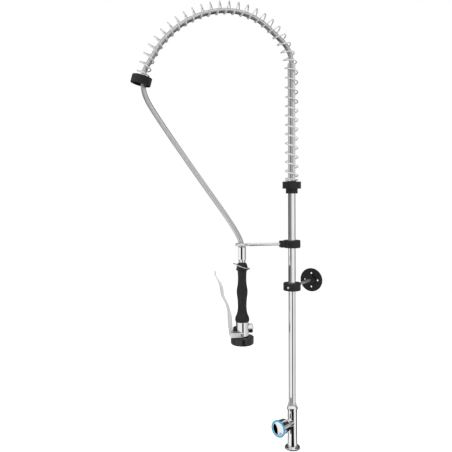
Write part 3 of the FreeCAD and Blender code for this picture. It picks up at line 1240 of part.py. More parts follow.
def gun_valve():
    """Valve body with its bonnet, stem, poppet, spring and boot."""
    body = cylinder(VALVE_RADIUS, VALVE_BOTTOM, VALVE_TOP, GUN_ORIGIN)
    body = rounded(body, VALVE_EDGE,
                   lambda edge: is_rim(edge, VALVE_RADIUS, VALVE_TOP, GUN_ORIGIN)
                   or is_rim(edge, VALVE_RADIUS, VALVE_BOTTOM, GUN_ORIGIN))
    body = body.fuse(cylinder(VALVE_NECK_RADIUS, VALVE_TOP - 2, VALVE_NECK_TOP, GUN_ORIGIN))
    body = body.fuse(cylinder(BOSS_RADIUS, 0, BOSS_REACH, VALVE_ORIGIN, ALONG_X))
    boss_face = VALVE_RADIUS + YOKE_GAP - FACE_GAP
    boss_start = VALVE_RADIUS / 2
    screw_floor = boss_face - PIN_DEPTH
    for side in (-1, 1):
        body = body.fuse(cylinder(PIN_BOSS_RADIUS, boss_start, boss_face, PIN_CENTRE, ALONG_Y * side))
        body = body.cut(cylinder(PIN_RADIUS + FIXED_GAP, screw_floor - 2 * FIXED_GAP, boss_face + 1,
                                 PIN_CENTRE, ALONG_Y * side))
    chamber_radius = BONNET_PLUG_RADIUS + FIXED_GAP
    inlet_top = GUN_ORIGIN + UP * (VALVE_NECK_TOP + 1)
    inlet_foot = VALVE_ORIGIN + ALONG_X * INLET_DUCT_REACH + UP * INLET_DUCT_RISE
    inlet = inlet_foot - inlet_top
    inlet_length = inlet.Length
    inlet.normalize()
    cuts = [
        cylinder(chamber_radius, SEAT_PLACE, BOSS_REACH + 1, VALVE_ORIGIN, ALONG_X),
        cylinder(SEAT_BORE, 0, SEAT_PLACE + 1, VALVE_ORIGIN, ALONG_X),
        cylinder(CENTRE_CHAMBER, STEM_GUIDE_END, SEAT_PLACE - 2, VALVE_ORIGIN, ALONG_X),
        cylinder(STEM_RADIUS + RUNNING_GAP, -VALVE_RADIUS - 1, 0, VALVE_ORIGIN, ALONG_X),
        cylinder(OUTLET_RADIUS, VALVE_BOTTOM - 1, VALVE_AXIS_HEIGHT, GUN_ORIGIN - ALONG_X * 2),
        Part.makeCylinder(INLET_DUCT_RADIUS, inlet_length, inlet_top, inlet),
    ]
    for cut in cuts:
        body = body.cut(cut)
    bonnet_end = BOSS_REACH + BONNET_LENGTH
    bonnet = cylinder(BONNET_RADIUS, BOSS_REACH, bonnet_end)
    bonnet = rounded(bonnet, BONNET_ROUNDING, lambda edge: is_rim(edge, BONNET_RADIUS, bonnet_end))
    bonnet = bonnet.fuse(cylinder(BONNET_PLUG_RADIUS, BOSS_REACH - BONNET_PLUG_LENGTH, BOSS_REACH))
    bonnet = bonnet.cut(cylinder(BONNET_CAVITY, 0, bonnet_end - BONNET_WALL))
    bonnet_groove = BOSS_REACH - BONNET_PLUG_LENGTH / 2
    bonnet = bonnet.cut(oring_groove(BONNET_PLUG_RADIUS, bonnet_groove))
    poppet_back = SEAT_PLACE + FIXED_GAP + POPPET_THICKNESS
    poppet = tube(POPPET_RADIUS, STEM_RADIUS, SEAT_PLACE + FIXED_GAP, poppet_back,
                  VALVE_ORIGIN, ALONG_X)
    tip_centre = stem_tip() + STEM_HEAD_RADIUS
    stem = cylinder(STEM_RADIUS, tip_centre, poppet_back, VALVE_ORIGIN, ALONG_X)
    boot_end = -VALVE_RADIUS - BOOT_LENGTH
    stem = stem.fuse(cylinder(STEM_HEAD_RADIUS, tip_centre, boot_end - STEM_TRAVEL - FACE_GAP,
                              VALVE_ORIGIN, ALONG_X))
    stem = stem.fuse(Part.makeSphere(STEM_HEAD_RADIUS, VALVE_ORIGIN + ALONG_X * tip_centre))
    spring = valve_spring(poppet_back + VALVE_SPRING_WIRE + FACE_GAP,
                          bonnet_end - BONNET_WALL - VALVE_SPRING_WIRE - FACE_GAP)
    boot_hole = STEM_RADIUS + RUNNING_GAP
    boot = turned([
        (boot_hole, VALVE_RADIUS - 1),
        (BOOT_FOOT_RADIUS, VALVE_RADIUS - 1),
        (BOOT_FOOT_RADIUS, VALVE_RADIUS + 2),
        (BOOT_TIP_RADIUS, VALVE_RADIUS + BOOT_LENGTH),
        (boot_hole, VALVE_RADIUS + BOOT_LENGTH),
    ], VALVE_ORIGIN, ALONG_X * -1)
    boot = boot.cut(body)
    return {
        "valve_body": body,
        "bonnet": placed(bonnet, VALVE_ORIGIN, ALONG_X),
        "bonnet_oring": oring(BONNET_PLUG_RADIUS, bonnet_groove, VALVE_ORIGIN, ALONG_X),
        "poppet": poppet,
        "stem": stem,
        "valve_spring": spring,
        "stem_boot": boot,
    }


def valve_spring(start, end):
    """Right-handed spring that closes the valve, along the valve axis."""
    quarters = 4 * VALVE_SPRING_TURNS
    pitch = (end - start) / VALVE_SPRING_TURNS
    points = []
    directions = []
    for i in range(quarters + 1):
        angle = math.pi / 2 * i
        place = VALVE_ORIGIN + ALONG_X * (start + pitch * i / 4)
        across = FreeCAD.Vector(0, math.cos(angle), math.sin(angle))
        points.append(place + across * VALVE_SPRING_RADIUS)
        direction = FreeCAD.Vector(pitch / (2 * math.pi * VALVE_SPRING_RADIUS),
                                   -math.sin(angle), math.cos(angle))
        direction.normalize()
        directions.append(direction)
    spring, edges = coil(points, directions, 2 * VALVE_SPRING_WIRE, VALVE_SPRING_WIRE)
    print("valve spring least gap", round(least_gap(edges, VALVE_SPRING_WIRE, 12), 2))
    return spring


def lever_outline():
    """Closed side view of the lever: a smooth outer edge, a smooth inner edge, square ends."""
    def smooth(points):
        curve = Part.BSplineCurve()
        curve.interpolate([GUN_ORIGIN + FreeCAD.Vector(x, 0, PIN_HEIGHT + rise) for x, rise in points])
        return curve.toShape()
    outer = smooth(LEVER_OUTER_EDGE)
    inner = smooth(LEVER_INNER_EDGE)
    tip = Part.LineSegment(outer.Vertexes[-1].Point, inner.Vertexes[0].Point).toShape()
    foot = Part.LineSegment(inner.Vertexes[-1].Point, outer.Vertexes[0].Point).toShape()
    return Part.Face(Part.Wire([outer, tip, inner, foot]))


def yoke():
    """Foot of the lever: a web at its outer edge and a cheek on each side, with the screws' holes."""
    low_corner = LEVER_OUTER_EDGE[0][0] + PIN_OFFSET
    high_corner = LEVER_OUTER_EDGE[1][0] + PIN_OFFSET + 1
    half = YOKE_HALF_HEIGHT
    side_view = outline_wire([
        (low_corner, -half),
        (0, -half),
        (0, half, half, 0),
        (high_corner, half),
    ])
    inner_half = VALVE_RADIUS + YOKE_GAP
    outer_half = inner_half + LEVER_WALL
    face = Part.Face(side_view)
    face.translate(PIN_CENTRE - ALONG_Y * outer_half)
    blank = face.extrude(ALONG_Y * (2 * outer_half))
    blank = rounded(blank, YOKE_CORNER,
                    lambda edge: abs(abs(edge.CenterOfMass.y) - outer_half) < 0.1
                    and edge.CenterOfMass.x < PIN_CENTRE.x + high_corner + 4)
    room_start = low_corner + LEVER_WALL
    room = outline_wire([
        (room_start, -half - 1),
        (2 * half, -half - 1),
        (2 * half, half + 1),
        (high_corner + LEVER_WALL, half + 1),
    ])
    room_face = Part.Face(room)
    room_face.translate(PIN_CENTRE - ALONG_Y * inner_half)
    room_solid = room_face.extrude(ALONG_Y * (2 * inner_half))
    hole = cylinder(PIN_RADIUS + RUNNING_GAP, -2 * outer_half, 2 * outer_half, PIN_CENTRE, ALONG_Y)
    return blank.cut(room_solid).cut(hole)


def stem_tip():
    """Offset of the stem's tip from the gun axis, just short of the lever's web."""
    line = Part.LineSegment(VALVE_ORIGIN - ALONG_X * 80, VALVE_ORIGIN).toShape()
    marks = [vertex.Point.x for vertex in line.common(lever_outline()).Vertexes]
    return min(marks) - VALVE_ORIGIN.x + LEVER_WALL + 3 * FACE_GAP


def lever():
    """Pressed lever, a channel open towards the grip on a yoke, and the yoke's two screws."""
    face = lever_outline()
    half = LEVER_WIDTH / 2
    inner_half = half - LEVER_WALL
    blank = face.copy()
    blank.translate(ALONG_Y * -half)
    blank = blank.extrude(ALONG_Y * LEVER_WIDTH)
    hollow = face.copy()
    hollow.translate(FreeCAD.Vector(LEVER_WALL, -inner_half, -LEVER_WALL / 3))
    hollow = hollow.extrude(ALONG_Y * (2 * inner_half))
    channel = blank.cut(hollow).fuse(yoke())
    channel = max(channel.Solids, key=lambda solid: solid.Volume)
    cheek_face = VALVE_RADIUS + YOKE_GAP + LEVER_WALL
    screw_floor = VALVE_RADIUS + YOKE_GAP - FACE_GAP - PIN_DEPTH
    screws = []
    for side in (-1, 1):
        screw = cylinder(PIN_RADIUS, screw_floor, cheek_face + FACE_GAP, PIN_CENTRE, ALONG_Y * side)
        head = cylinder(PIN_HEAD_RADIUS, cheek_face + FACE_GAP,
                        cheek_face + FACE_GAP + PIN_HEAD_HEIGHT, PIN_CENTRE, ALONG_Y * side)
        socket = hexagon(2 * PIN_SOCKET, cheek_face + PIN_HEAD_HEIGHT / 2,
                         cheek_face + 2 * PIN_HEAD_HEIGHT, PIN_CENTRE, ALONG_Y * side)
        screws.append(screw.fuse(head).cut(socket))
    return {"lever": channel, "lever_pin": Part.makeCompound(screws)}


def hold_ring():
    """Loose wire ring round the collar, hinged in the collar's lug."""
    pivot = GUN_ORIGIN + FreeCAD.Vector(RING_PIVOT_OFFSET, 0, RING_PIVOT_HEIGHT)
    ring = Part.makeTorus(RING_RADIUS, RING_WIRE_RADIUS, pivot - ALONG_X * RING_RADIUS, UP)
    ring.rotate(pivot, ALONG_Y, RING_TILT)
    return {"hold_ring": ring}


def spray_head():
    """Shell under the valve body, rubber bumper round it, spray plate and its screw."""
    plate_top = HEAD_SHELL_BOTTOM + PLATE_THICKNESS + PLATE_INSET
    plate_bottom = plate_top - PLATE_THICKNESS
    chamber_radius = HEAD_SHELL_RADIUS - HEAD_SHELL_WALL
    plate_radius = chamber_radius - FIXED_GAP
    post_radius = PLATE_SCREW_RADIUS + 2
    shell = turned([
        (OUTLET_RADIUS, VALVE_BOTTOM),
        (HEAD_NECK_RADIUS, VALVE_BOTTOM),
        (HEAD_NECK_RADIUS, HEAD_TOP),
        (HEAD_SHELL_RADIUS, HEAD_TOP),
        (HEAD_SHELL_RADIUS, HEAD_SHELL_BOTTOM),
        (chamber_radius, HEAD_SHELL_BOTTOM),
        (chamber_radius, HEAD_TOP - HEAD_SHELL_WALL),
        (OUTLET_RADIUS, HEAD_TOP - HEAD_SHELL_WALL),
    ], GUN_ORIGIN)
    bridge_reach = OUTLET_RADIUS + HEAD_SHELL_WALL
    bridge = Part.makeBox(2 * bridge_reach, BRIDGE_WIDTH, HEAD_SHELL_WALL,
                          GUN_ORIGIN + FreeCAD.Vector(-bridge_reach, -BRIDGE_WIDTH / 2,
                                                      HEAD_TOP - HEAD_SHELL_WALL))
    screw_top = HEAD_TOP - HEAD_SHELL_WALL / 2
    shell = shell.fuse(bridge)
    shell = shell.fuse(cylinder(post_radius, plate_top, screw_top, GUN_ORIGIN))
    shell = shell.cut(cylinder(PLATE_SCREW_RADIUS + FIXED_GAP, plate_top - 1, screw_top, GUN_ORIGIN))
    top = BUMPER_TOP_ROUNDING
    foot = BUMPER_FOOT_ROUNDING
    slant = 1 - math.sqrt(0.5)
    bumper = turned([
        (BUMPER_INNER_TOP, HEAD_TOP),
        (BUMPER_INNER_TOP, BUMPER_TOP),
        (BUMPER_RADIUS - top, BUMPER_TOP),
        (BUMPER_RADIUS, BUMPER_TOP - top, BUMPER_RADIUS - top * slant, BUMPER_TOP - top * slant),
        (BUMPER_RADIUS, BUMPER_BOTTOM + foot),
        (BUMPER_RADIUS - foot, BUMPER_BOTTOM,
         BUMPER_RADIUS - foot * slant, BUMPER_BOTTOM + foot * slant),
        (BUMPER_LIP, BUMPER_BOTTOM),
        (BUMPER_LIP, HEAD_SHELL_BOTTOM),
        (HEAD_SHELL_RADIUS + FIXED_GAP, HEAD_SHELL_BOTTOM),
        (HEAD_SHELL_RADIUS + FIXED_GAP, HEAD_TOP),
    ], GUN_ORIGIN)
    plate = cylinder(plate_radius, plate_bottom, plate_top, GUN_ORIGIN)
    plate = plate.cut(cylinder(PLATE_SCREW_RADIUS + FIXED_GAP, plate_bottom - 1, plate_top + 1,
                               GUN_ORIGIN))
    holes = []
    for circle in PLATE_HOLE_CIRCLES:
        count = round(2 * math.pi * circle / PLATE_HOLE_SPACING)
        for i in range(count):
            centre = GUN_ORIGIN + heading(360 * i / count) * circle
            holes.append(cylinder(PLATE_HOLE_RADIUS, plate_bottom - 1, plate_top + 1, centre))
    plate = plate.cut(Part.makeCompound(holes))
    head_bottom = plate_bottom - PLATE_SCREW_HEAD_HEIGHT
    screw = cylinder(PLATE_SCREW_RADIUS, plate_bottom, screw_top, GUN_ORIGIN)
    screw = screw.fuse(cylinder(PLATE_SCREW_HEAD_RADIUS, head_bottom, plate_bottom, GUN_ORIGIN))
    screw = screw.cut(hexagon(PLATE_SCREW_SOCKET, head_bottom - 1, head_bottom + 1, GUN_ORIGIN))
    return {"head_shell": shell, "head_bumper": bumper, "spray_plate": plate, "plate_screw": screw}


def build():
    nodes = {}
    for group in (base_valve, headwork, knob, riser, hose_coupling, wall_bracket, hook_arm,
                  spring_seat, arch_spring, hoses, end_nut, gun_swivel, gun_grip, gun_valve,
                  lever, hold_ring, spray_head):
        nodes.update(group())
    return nodes


os.makedirs("parts", exist_ok=True)
for name, shape in build().items():
    if not shape.isValid():
        print("not valid:", name)
    shape.exportStep("parts/" + name + ".step")
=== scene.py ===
import json
import math

import bmesh
import bpy
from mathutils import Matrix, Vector


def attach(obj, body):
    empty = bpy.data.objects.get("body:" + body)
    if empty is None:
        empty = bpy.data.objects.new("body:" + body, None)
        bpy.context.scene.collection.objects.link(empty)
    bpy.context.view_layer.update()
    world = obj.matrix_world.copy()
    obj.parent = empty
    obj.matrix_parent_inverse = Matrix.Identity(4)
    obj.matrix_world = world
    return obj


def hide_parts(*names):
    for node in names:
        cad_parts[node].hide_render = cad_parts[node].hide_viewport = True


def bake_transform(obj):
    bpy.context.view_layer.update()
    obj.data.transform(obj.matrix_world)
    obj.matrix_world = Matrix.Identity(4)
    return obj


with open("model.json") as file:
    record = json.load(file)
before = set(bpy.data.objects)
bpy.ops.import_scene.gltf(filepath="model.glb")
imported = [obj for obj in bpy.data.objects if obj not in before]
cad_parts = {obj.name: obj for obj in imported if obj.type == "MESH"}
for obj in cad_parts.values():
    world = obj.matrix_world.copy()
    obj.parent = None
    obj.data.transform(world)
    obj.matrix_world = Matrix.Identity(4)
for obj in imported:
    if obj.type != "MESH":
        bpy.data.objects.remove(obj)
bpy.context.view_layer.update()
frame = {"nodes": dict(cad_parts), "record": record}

# Camera, in metres, at the photograph's viewing angle
CAMERA_PLACE = (-0.3888, -1.491, 0.704)
CAMERA_TURN = -8
CAMERA_ROLL = 0.15
CAMERA_LENS = 45.16
CAMERA_SHIFT = -0.0863
CAMERA_SENSOR = 36
CAMERA_REACH = 50

# Hose sizes and route in millimetres: reach from the riser and height, as in the part
HOSE_RADIUS = 6.7
HOSE_START = 1036.9
FREE_HOSE_ROUTE = [
    (396.4, 985),
    (396.4, 966),
    (392.9, 946.5),
    (384.5, 927),
    (372.7, 907),
    (348.1, 869),
    (301.8, 801),
    (235.2, 706),
    (190.8, 644),
    (165, 606),
    (147.9, 577.5),
    (139.7, 559),
    (136.5, 543.5),
    (136.5, 528),
]
# Straight runs as (length,) and right-hand bends as (radius, degrees) of the held hose
HELD_HOSE_TRAIL = [(80, 47.41), (48.66,), (166.7, 53.59), (234.7, 49), (46.3,), (63, 30)]
# Fineness: degrees between points of the held hose, points per piece of the free route, and sides
HOSE_STEP = 2
ROUTE_STEPS = 16
HOSE_SIDES = 24
# Strands of each lay of the braid round the hose, and wires in a strand
BRAID_STRANDS = 12
STRAND_WIRES = 5
# Share of the strands and of their wires in the braid's height
STRAND_SHARE = 0.7
WIRE_SHARE = 0.3
# Braid's height in metres, how strongly it shows, and the heights of its two greys, between which painted
# shade in the weave's hollows turns to painted light on its crowns
BRAID_DEPTH = 0.0004
BRAID_BUMP = 0.45
BRAID_SHADE_HEIGHTS = (0.08, 0.55)
# Painted shade and light of the braid: its grey in the hollows and on the crowns
BRAID_SHADED_GREY = (0.42, 0.42, 0.43)
BRAID_LIT_GREY = (0.74, 0.74, 0.75)
BRAID_METALLIC = 0.9
BRAID_ROUGHNESS = 0.24

# The other materials, by slot or node: low and high colour, metallic, roughness from and to,
# scale of the grain and strength of its bump
SURFACES = {
    "chrome": ((0.84, 0.84, 0.85), (0.9, 0.9, 0.91), 1, (0.02, 0.05), 30, 0),
    "steel": ((0.78, 0.78, 0.79), (0.84, 0.84, 0.85), 0.85, (0.14, 0.2), 300, 0.01),
    "lever": ((0.74, 0.74, 0.74), (0.82, 0.82, 0.82), 0.45, (0.3, 0.42), 60, 0.06),
    "head_bumper": ((0.007, 0.007, 0.007), (0.013, 0.013, 0.013), 0, (0.14, 0.22), 500, 0.04),
    "wall_rod": ((0.5, 0.5, 0.51), (0.6, 0.6, 0.61), 0.7, (0.24, 0.32), 300, 0.02),
    "arch_spring": ((0.8, 0.8, 0.8), (0.88, 0.88, 0.88), 0.5, (0.2, 0.28), 300, 0.01),
    "black_plastic": ((0.008, 0.008, 0.009), (0.014, 0.014, 0.015), 0, (0.3, 0.42), 900, 0.12),
    "rubber": ((0.008, 0.008, 0.008), (0.014, 0.014, 0.014), 0, (0.5, 0.65), 700, 0.1),
    "grip_rubber": ((0.008, 0.008, 0.009), (0.014, 0.014, 0.015), 0, (0.4, 0.52), 1200, 0.2),
    "brass": ((0.6, 0.44, 0.2), (0.72, 0.56, 0.3), 1, (0.2, 0.3), 80, 0.05),
    "ceramic": ((0.8, 0.79, 0.75), (0.9, 0.89, 0.86), 0, (0.15, 0.25), 40, 0),
    "blue_ring": ((0.02, 0.33, 0.6), (0.04, 0.42, 0.68), 0, (0.2, 0.3), 90, 0),
}
# Grain that is drawn out along a piece, and what shines less than the rest
GRAIN_STRETCH = {"lever": (8, 8, 1)}
DULL_SURFACES = ("black_plastic", "rubber", "grip_rubber")
DULL_SHINE = 0.35
USUAL_SHINE = 0.5
# Grain of them all: detail, the part of the noise that is used, and bump in metres
GRAIN_DETAIL = 3
GRAIN_START = 0.3
GRAIN_END = 0.7
GRAIN_DEPTH = 0.0002

# Studio: greys that metal sees round the riser, as (azimuth in degrees, grey).
# The first three are of the world: a little above level, level and below, and high up.
HORIZON_FIELDS = [(-180, 0.62), (-160, 0.6), (-156, 0.5), (-154, 0.02), (-138, 0.02), (-134, 0.42),
                  (-60, 0.4), (60, 0.4), (76, 0.1), (84, 0.5)]
LEVEL_FIELDS = [(-180, 0.17), (-150, 0.22), (-126, 0.32), (-108, 0.7), (-95, 0.92), (-45, 1), (-20, 0.62),
                (10, 0.35), (80, 0.15), (125, 0.08), (160, 0.14)]
UPPER_FIELDS = [(-180, 0.9), (-30, 1), (-20, 0.06), (40, 0.04), (44, 0.9), (54, 0.9), (58, 0.04),
                (140, 0.06), (150, 0.8)]
# Painted reflections: greys that metal alone sees in the floor beyond the near radius and within it
FAR_FLOOR_REFLECTIONS = [(-180, 0.5), (-172, 0.95), (-108, 0.95), (-106, 0.01), (-81, 0.01), (-79, 0.95),
                    (-70, 0.95), (-55, 0.85), (-30, 0.68), (75, 0.5), (130, 0.45)]
NEAR_FLOOR_REFLECTIONS = [(-180, 1), (-130, 1), (-127, 0.01), (-68, 0.01), (-64, 1), (-10, 1), (-4, 0.01),
                     (150, 0.01), (155, 1)]
# Upward part of a direction above which the high greys begin, and above which all is white
UPPER_START = 0.27
TOP_START = 0.92
# Floor in metres; metal sees it black within the foot's shade
FLOOR_RADIUS = 2.6
FLOOR_SIDES = 96
NEAR_FLOOR_RADIUS = 0.31
FOOT_SHADE_RADIUS = 0.029
FLOOR_GREY = 0.9
FLOOR_ROUGHNESS = 0.9
FLOOR_GLOW = 0.35
# Upright cards that only reflections show: centre in metres, azimuths, distance, heights and grey
GUN = (-0.1365, 0)
KNOB_FACE = (-0.049, -0.04)
HOSE_MIDDLE = (-0.26, 0)
CARDS = [
    (GUN, (-128, -88), 0.16, (0.478, 0.53), 0),
    (GUN, (132, 222), 0.16, (0.455, 0.535), 1),
    (GUN, (81, 132), 0.16, (0.455, 0.535), 0.4),
    (KNOB_FACE, (-173, -120), 0.16, (0, 0.06), 0),
    (HOSE_MIDDLE, (-35, 60), 0.45, (0.7, 1.2), 0.65),
]
# Level cards that face up: centre, azimuths, nearest and farthest distance, height and grey
LEVEL_CARDS = [
    (KNOB_FACE, (-173, -120), (0.045, 0.16), 0.0006, 0),
    ((-0.2, -0.1), (-150, 150), (0, 1), 0.93, 0.03),
]
# Largest turn in degrees between two corners of a card
CARD_STEP = 10
# Light: an even part from all round, and one lamp in metres and watts
EVEN_LIGHT = 0.85
KEY_PLACE = (-1.6, -1.8, 2.2)
KEY_TARGET = (-0.15, 0, 0.6)
KEY_SIZE = (1.2, 1.2)
KEY_POWER = 25


def in_arch(reach, height):
    """Point in metres of the arch's plane, from millimetres."""
    return Vector((-reach / 1000, 0, height / 1000))


def add_camera():
    """Camera that stands, turns and leans as the photograph's did."""
    data = bpy.data.cameras.new("camera")
    data.lens = CAMERA_LENS
    data.sensor_width = CAMERA_SENSOR
    data.shift_y = CAMERA_SHIFT
    data.clip_end = CAMERA_REACH
    camera = new_object("camera", data)
    camera.location = CAMERA_PLACE
    camera.rotation_euler = (math.radians(90), math.radians(CAMERA_ROLL), math.radians(CAMERA_TURN))
    bpy.context.scene.camera = camera


def new_object(name, data):
    """Object in the scene from its mesh, curve, lamp or camera."""
    piece = bpy.data.objects.new(name, data)
    bpy.context.collection.objects.link(piece)
    return piece


def spline_points(points):
    """Points along the smooth NURBS line that has the given control points."""
    curve = bpy.data.curves.new("route", "CURVE")
    curve.dimensions = "3D"
    curve.resolution_u = ROUTE_STEPS
    spline = curve.splines.new("NURBS")
    spline.points.add(len(points) - 1)
    for control, point in zip(spline.points, points):
        control.co = (*point, 1)
    spline.order_u = 3
    spline.use_endpoint_u = True
    holder = new_object("route", curve)
    bpy.context.view_layer.update()
    mesh = bpy.data.meshes.new_from_object(holder)
    line = [vertex.co.copy() for vertex in mesh.vertices]
    bpy.data.objects.remove(holder)
    bpy.data.meshes.remove(mesh)
    return line


def trail_points(start, height, trail):
    """Points along straight runs and right-hand bends, starting upwards."""
    reach = start
    angle = math.radians(90)
    points = [in_arch(reach, height)]
    for piece in trail:
        if len(piece) == 1:
            reach += piece[0] * math.cos(angle)
            height += piece[0] * math.sin(angle)
            points.append(in_arch(reach, height))
            continue
        radius, turn = piece[0], math.radians(piece[1])
        count = max(2, round(turn / math.radians(HOSE_STEP)))
        centre = (reach + radius * math.sin(angle), height - radius * math.cos(angle))
        first = angle
        for i in range(1, count + 1):
            angle = first - turn * i / count
            reach = centre[0] - radius * math.sin(angle)
            height = centre[1] + radius * math.cos(angle)
            points.append(in_arch(reach, height))
    return points


def tube_mesh(name, line, radius):
    """Round tube along a line in the arch's plane, unwrapped so that its weave runs evenly."""
    mesh = bmesh.new()
    layer = mesh.loops.layers.uv.new("weave")
    rings = []
    run = 0
    runs = []
    side = Vector((0, 1, 0))
    for i, point in enumerate(line):
        before = line[max(i - 1, 0)]
        after = line[min(i + 1, len(line) - 1)]
        across = (after - before).normalized().cross(side)
        ring = []
        for k in range(HOSE_SIDES):
            angle = 2 * math.pi * k / HOSE_SIDES
            outward = across * math.cos(angle) + side * math.sin(angle)
            ring.append(mesh.verts.new(point + outward * radius))
        rings.append(ring)
        run += (point - before).length
        runs.append(run / (2 * math.pi * radius))
    for i in range(len(rings) - 1):
        for k in range(HOSE_SIDES):
            m = (k + 1) % HOSE_SIDES
            face = mesh.faces.new((rings[i][k], rings[i][m], rings[i + 1][m], rings[i + 1][k]))
            face.smooth = True
            corners = ((k, i), (k + 1, i), (k + 1, i + 1), (k, i + 1))
            for loop, (u, v) in zip(face.loops, corners):
                loop[layer].uv = (u / HOSE_SIDES, runs[v])
    for ring in (rings[0], rings[-1]):
        mesh.faces.new(ring)
    bmesh.ops.recalc_face_normals(mesh, faces=mesh.faces)
    data = bpy.data.meshes.new(name)
    mesh.to_mesh(data)
    mesh.free()
    return new_object(name, data)


class Nodes:
    """Shorthand for building a node material."""

    def __init__(self, name):
        self.material = bpy.data.materials.new(name)
        self.material.use_nodes = True
        self.tree = self.material.node_tree
        self.tree.nodes.clear()
        self.output = self.add("ShaderNodeOutputMaterial")
        self.shader = self.add("ShaderNodeBsdfPrincipled")
        self.link(self.shader, "BSDF", self.output, "Surface")

    def add(self, kind, **values):
        node = self.tree.nodes.new(kind)
        for key, value in values.items():
            setattr(node, key, value)
        return node

    def link(self, source, output, target, entry):
        self.tree.links.new(source.outputs[output], target.inputs[entry])

    def math(self, operation, *values):
        """Math node whose inputs are numbers, math nodes or (node, output) pairs."""
        node = self.add("ShaderNodeMath", operation=operation)
        for entry, value in enumerate(values):
            if isinstance(value, (int, float)):
                node.inputs[entry].default_value = value
            elif isinstance(value, tuple):
                self.link(value[0], value[1], node, entry)
            else:
                self.link(value, "Value", node, entry)
        return node

    def noise(self, scale, stretch):
        """Noise in the piece's own coordinates, stretched along each axis."""
        place = self.add("ShaderNodeTexCoord")
        mapping = self.add("ShaderNodeMapping")
        mapping.inputs["Scale"].default_value = stretch
        self.link(place, "Object", mapping, "Vector")
        noise = self.add("ShaderNodeTexNoise")
        noise.inputs["Scale"].default_value = scale
        noise.inputs["Detail"].default_value = GRAIN_DETAIL
        self.link(mapping, "Vector", noise, "Vector")
        return noise

    def ramp(self, source, output, low, high, start=GRAIN_START, end=GRAIN_END):
        """Colour from low to high as the source goes from start to end."""
        ramp = self.add("ShaderNodeValToRGB")
        ramp.color_ramp.elements[0].position = start
        ramp.color_ramp.elements[1].position = end
        ramp.color_ramp.elements[0].color = (*low, 1)
        ramp.color_ramp.elements[1].color = (*high, 1)
        self.link(source, output, ramp, "Fac")
        return ramp

    def spread(self, source, output, low, high):
        """Number from low to high as the grain goes from its start to its end."""
        spread = self.add("ShaderNodeMapRange")
        spread.inputs["From Min"].default_value = GRAIN_START
        spread.inputs["From Max"].default_value = GRAIN_END
        spread.inputs["To Min"].default_value = low
        spread.inputs["To Max"].default_value = high
        self.link(source, output, spread, "Value")
        return spread

    def bump(self, source, output, strength, distance):
        bump = self.add("ShaderNodeBump")
        bump.inputs["Strength"].default_value = strength
        bump.inputs["Distance"].default_value = distance
        self.link(source, output, bump, "Height")
        self.link(bump, "Normal", self.shader, "Normal")


def surface(name, low, high, metallic, roughness, scale, bump, stretch, shine):
    """Material with mottled colour, roughness between two values and a fine bump."""
    nodes = Nodes(name)
    noise = nodes.noise(scale, stretch)
    colour = nodes.ramp(noise, "Fac", low, high)
    nodes.link(colour, "Color", nodes.shader, "Base Color")
    nodes.shader.inputs["Metallic"].default_value = metallic
    nodes.shader.inputs["Specular IOR Level"].default_value = shine
    spread = nodes.spread(noise, "Fac", *roughness)
    nodes.link(spread, "Result", nodes.shader, "Roughness")
    if bump:
        nodes.bump(noise, "Fac", bump, GRAIN_DEPTH)
    return nodes.material


def braid(name, low, high):
    """Woven steel wire: strands of two lays pass over and under each other on the unwrapped tube, with
    painted shade that darkens the weave's hollows and lightens its crowns.
    """
    nodes = Nodes(name)
    place = nodes.add("ShaderNodeTexCoord")
    across = []
    cells = []
    for lean in (1, -1):
        lay = nodes.add("ShaderNodeVectorMath", operation="DOT_PRODUCT")
        lay.inputs[1].default_value = (BRAID_STRANDS, BRAID_STRANDS * lean, 0)
        nodes.link(place, "UV", lay, 0)
        across.append(nodes.math("FRACT", (lay, "Value")))
        cells.append(nodes.math("FLOOR", (lay, "Value")))
    upper = nodes.math("ADD", cells[0], cells[1])
    upper = nodes.math("FLOORED_MODULO", upper, 2)
    crowns = [nodes.math("SINE", nodes.math("MULTIPLY", side, math.pi)) for side in across]
    pillow = nodes.math("MULTIPLY", crowns[0], crowns[1])
    # Sockets 2 and 3 of a number mix are its two numbers.
    chosen = nodes.add("ShaderNodeMix", data_type="FLOAT")
    nodes.link(upper, "Value", chosen, 0)
    nodes.link(across[0], "Value", chosen, 2)
    nodes.link(across[1], "Value", chosen, 3)
    wires = nodes.math("MULTIPLY", (chosen, 0), STRAND_WIRES * math.pi)
    wires = nodes.math("ABSOLUTE", nodes.math("SINE", wires))
    wires = nodes.math("MULTIPLY", wires, WIRE_SHARE)
    height = nodes.math("ADD", nodes.math("MULTIPLY", pillow, STRAND_SHARE), wires)
    # Painted shade: the grey darkens down into the weave and lightens on its crowns.
    colour = nodes.ramp(height, "Value", low, high, *BRAID_SHADE_HEIGHTS)
    nodes.link(colour, "Color", nodes.shader, "Base Color")
    nodes.shader.inputs["Metallic"].default_value = BRAID_METALLIC
    nodes.shader.inputs["Roughness"].default_value = BRAID_ROUGHNESS
    nodes.bump(height, "Value", BRAID_BUMP, BRAID_DEPTH)
    return nodes.material


def make_materials():
    """Materials by slot, and by node for the pieces that have their own."""
    materials = {}
    for name, values in SURFACES.items():
        stretch = GRAIN_STRETCH.get(name, (1, 1, 1))
        shine = DULL_SHINE if name in DULL_SURFACES else USUAL_SHINE
        materials[name] = surface(name, *values, stretch, shine)
    materials["braid"] = braid("braid", BRAID_SHADED_GREY, BRAID_LIT_GREY)
    return materials


def dress_nodes(materials):
    """Gives each piece of the part its own material, or that of its slot."""
    slots = {part["node"]: part["material_slot"] for part in frame["record"]["subparts"]}
    for name, node in frame["nodes"].items():
        material = materials.get(name, materials[slots[name]])
        node.data.materials.clear()
        node.data.materials.append(material)


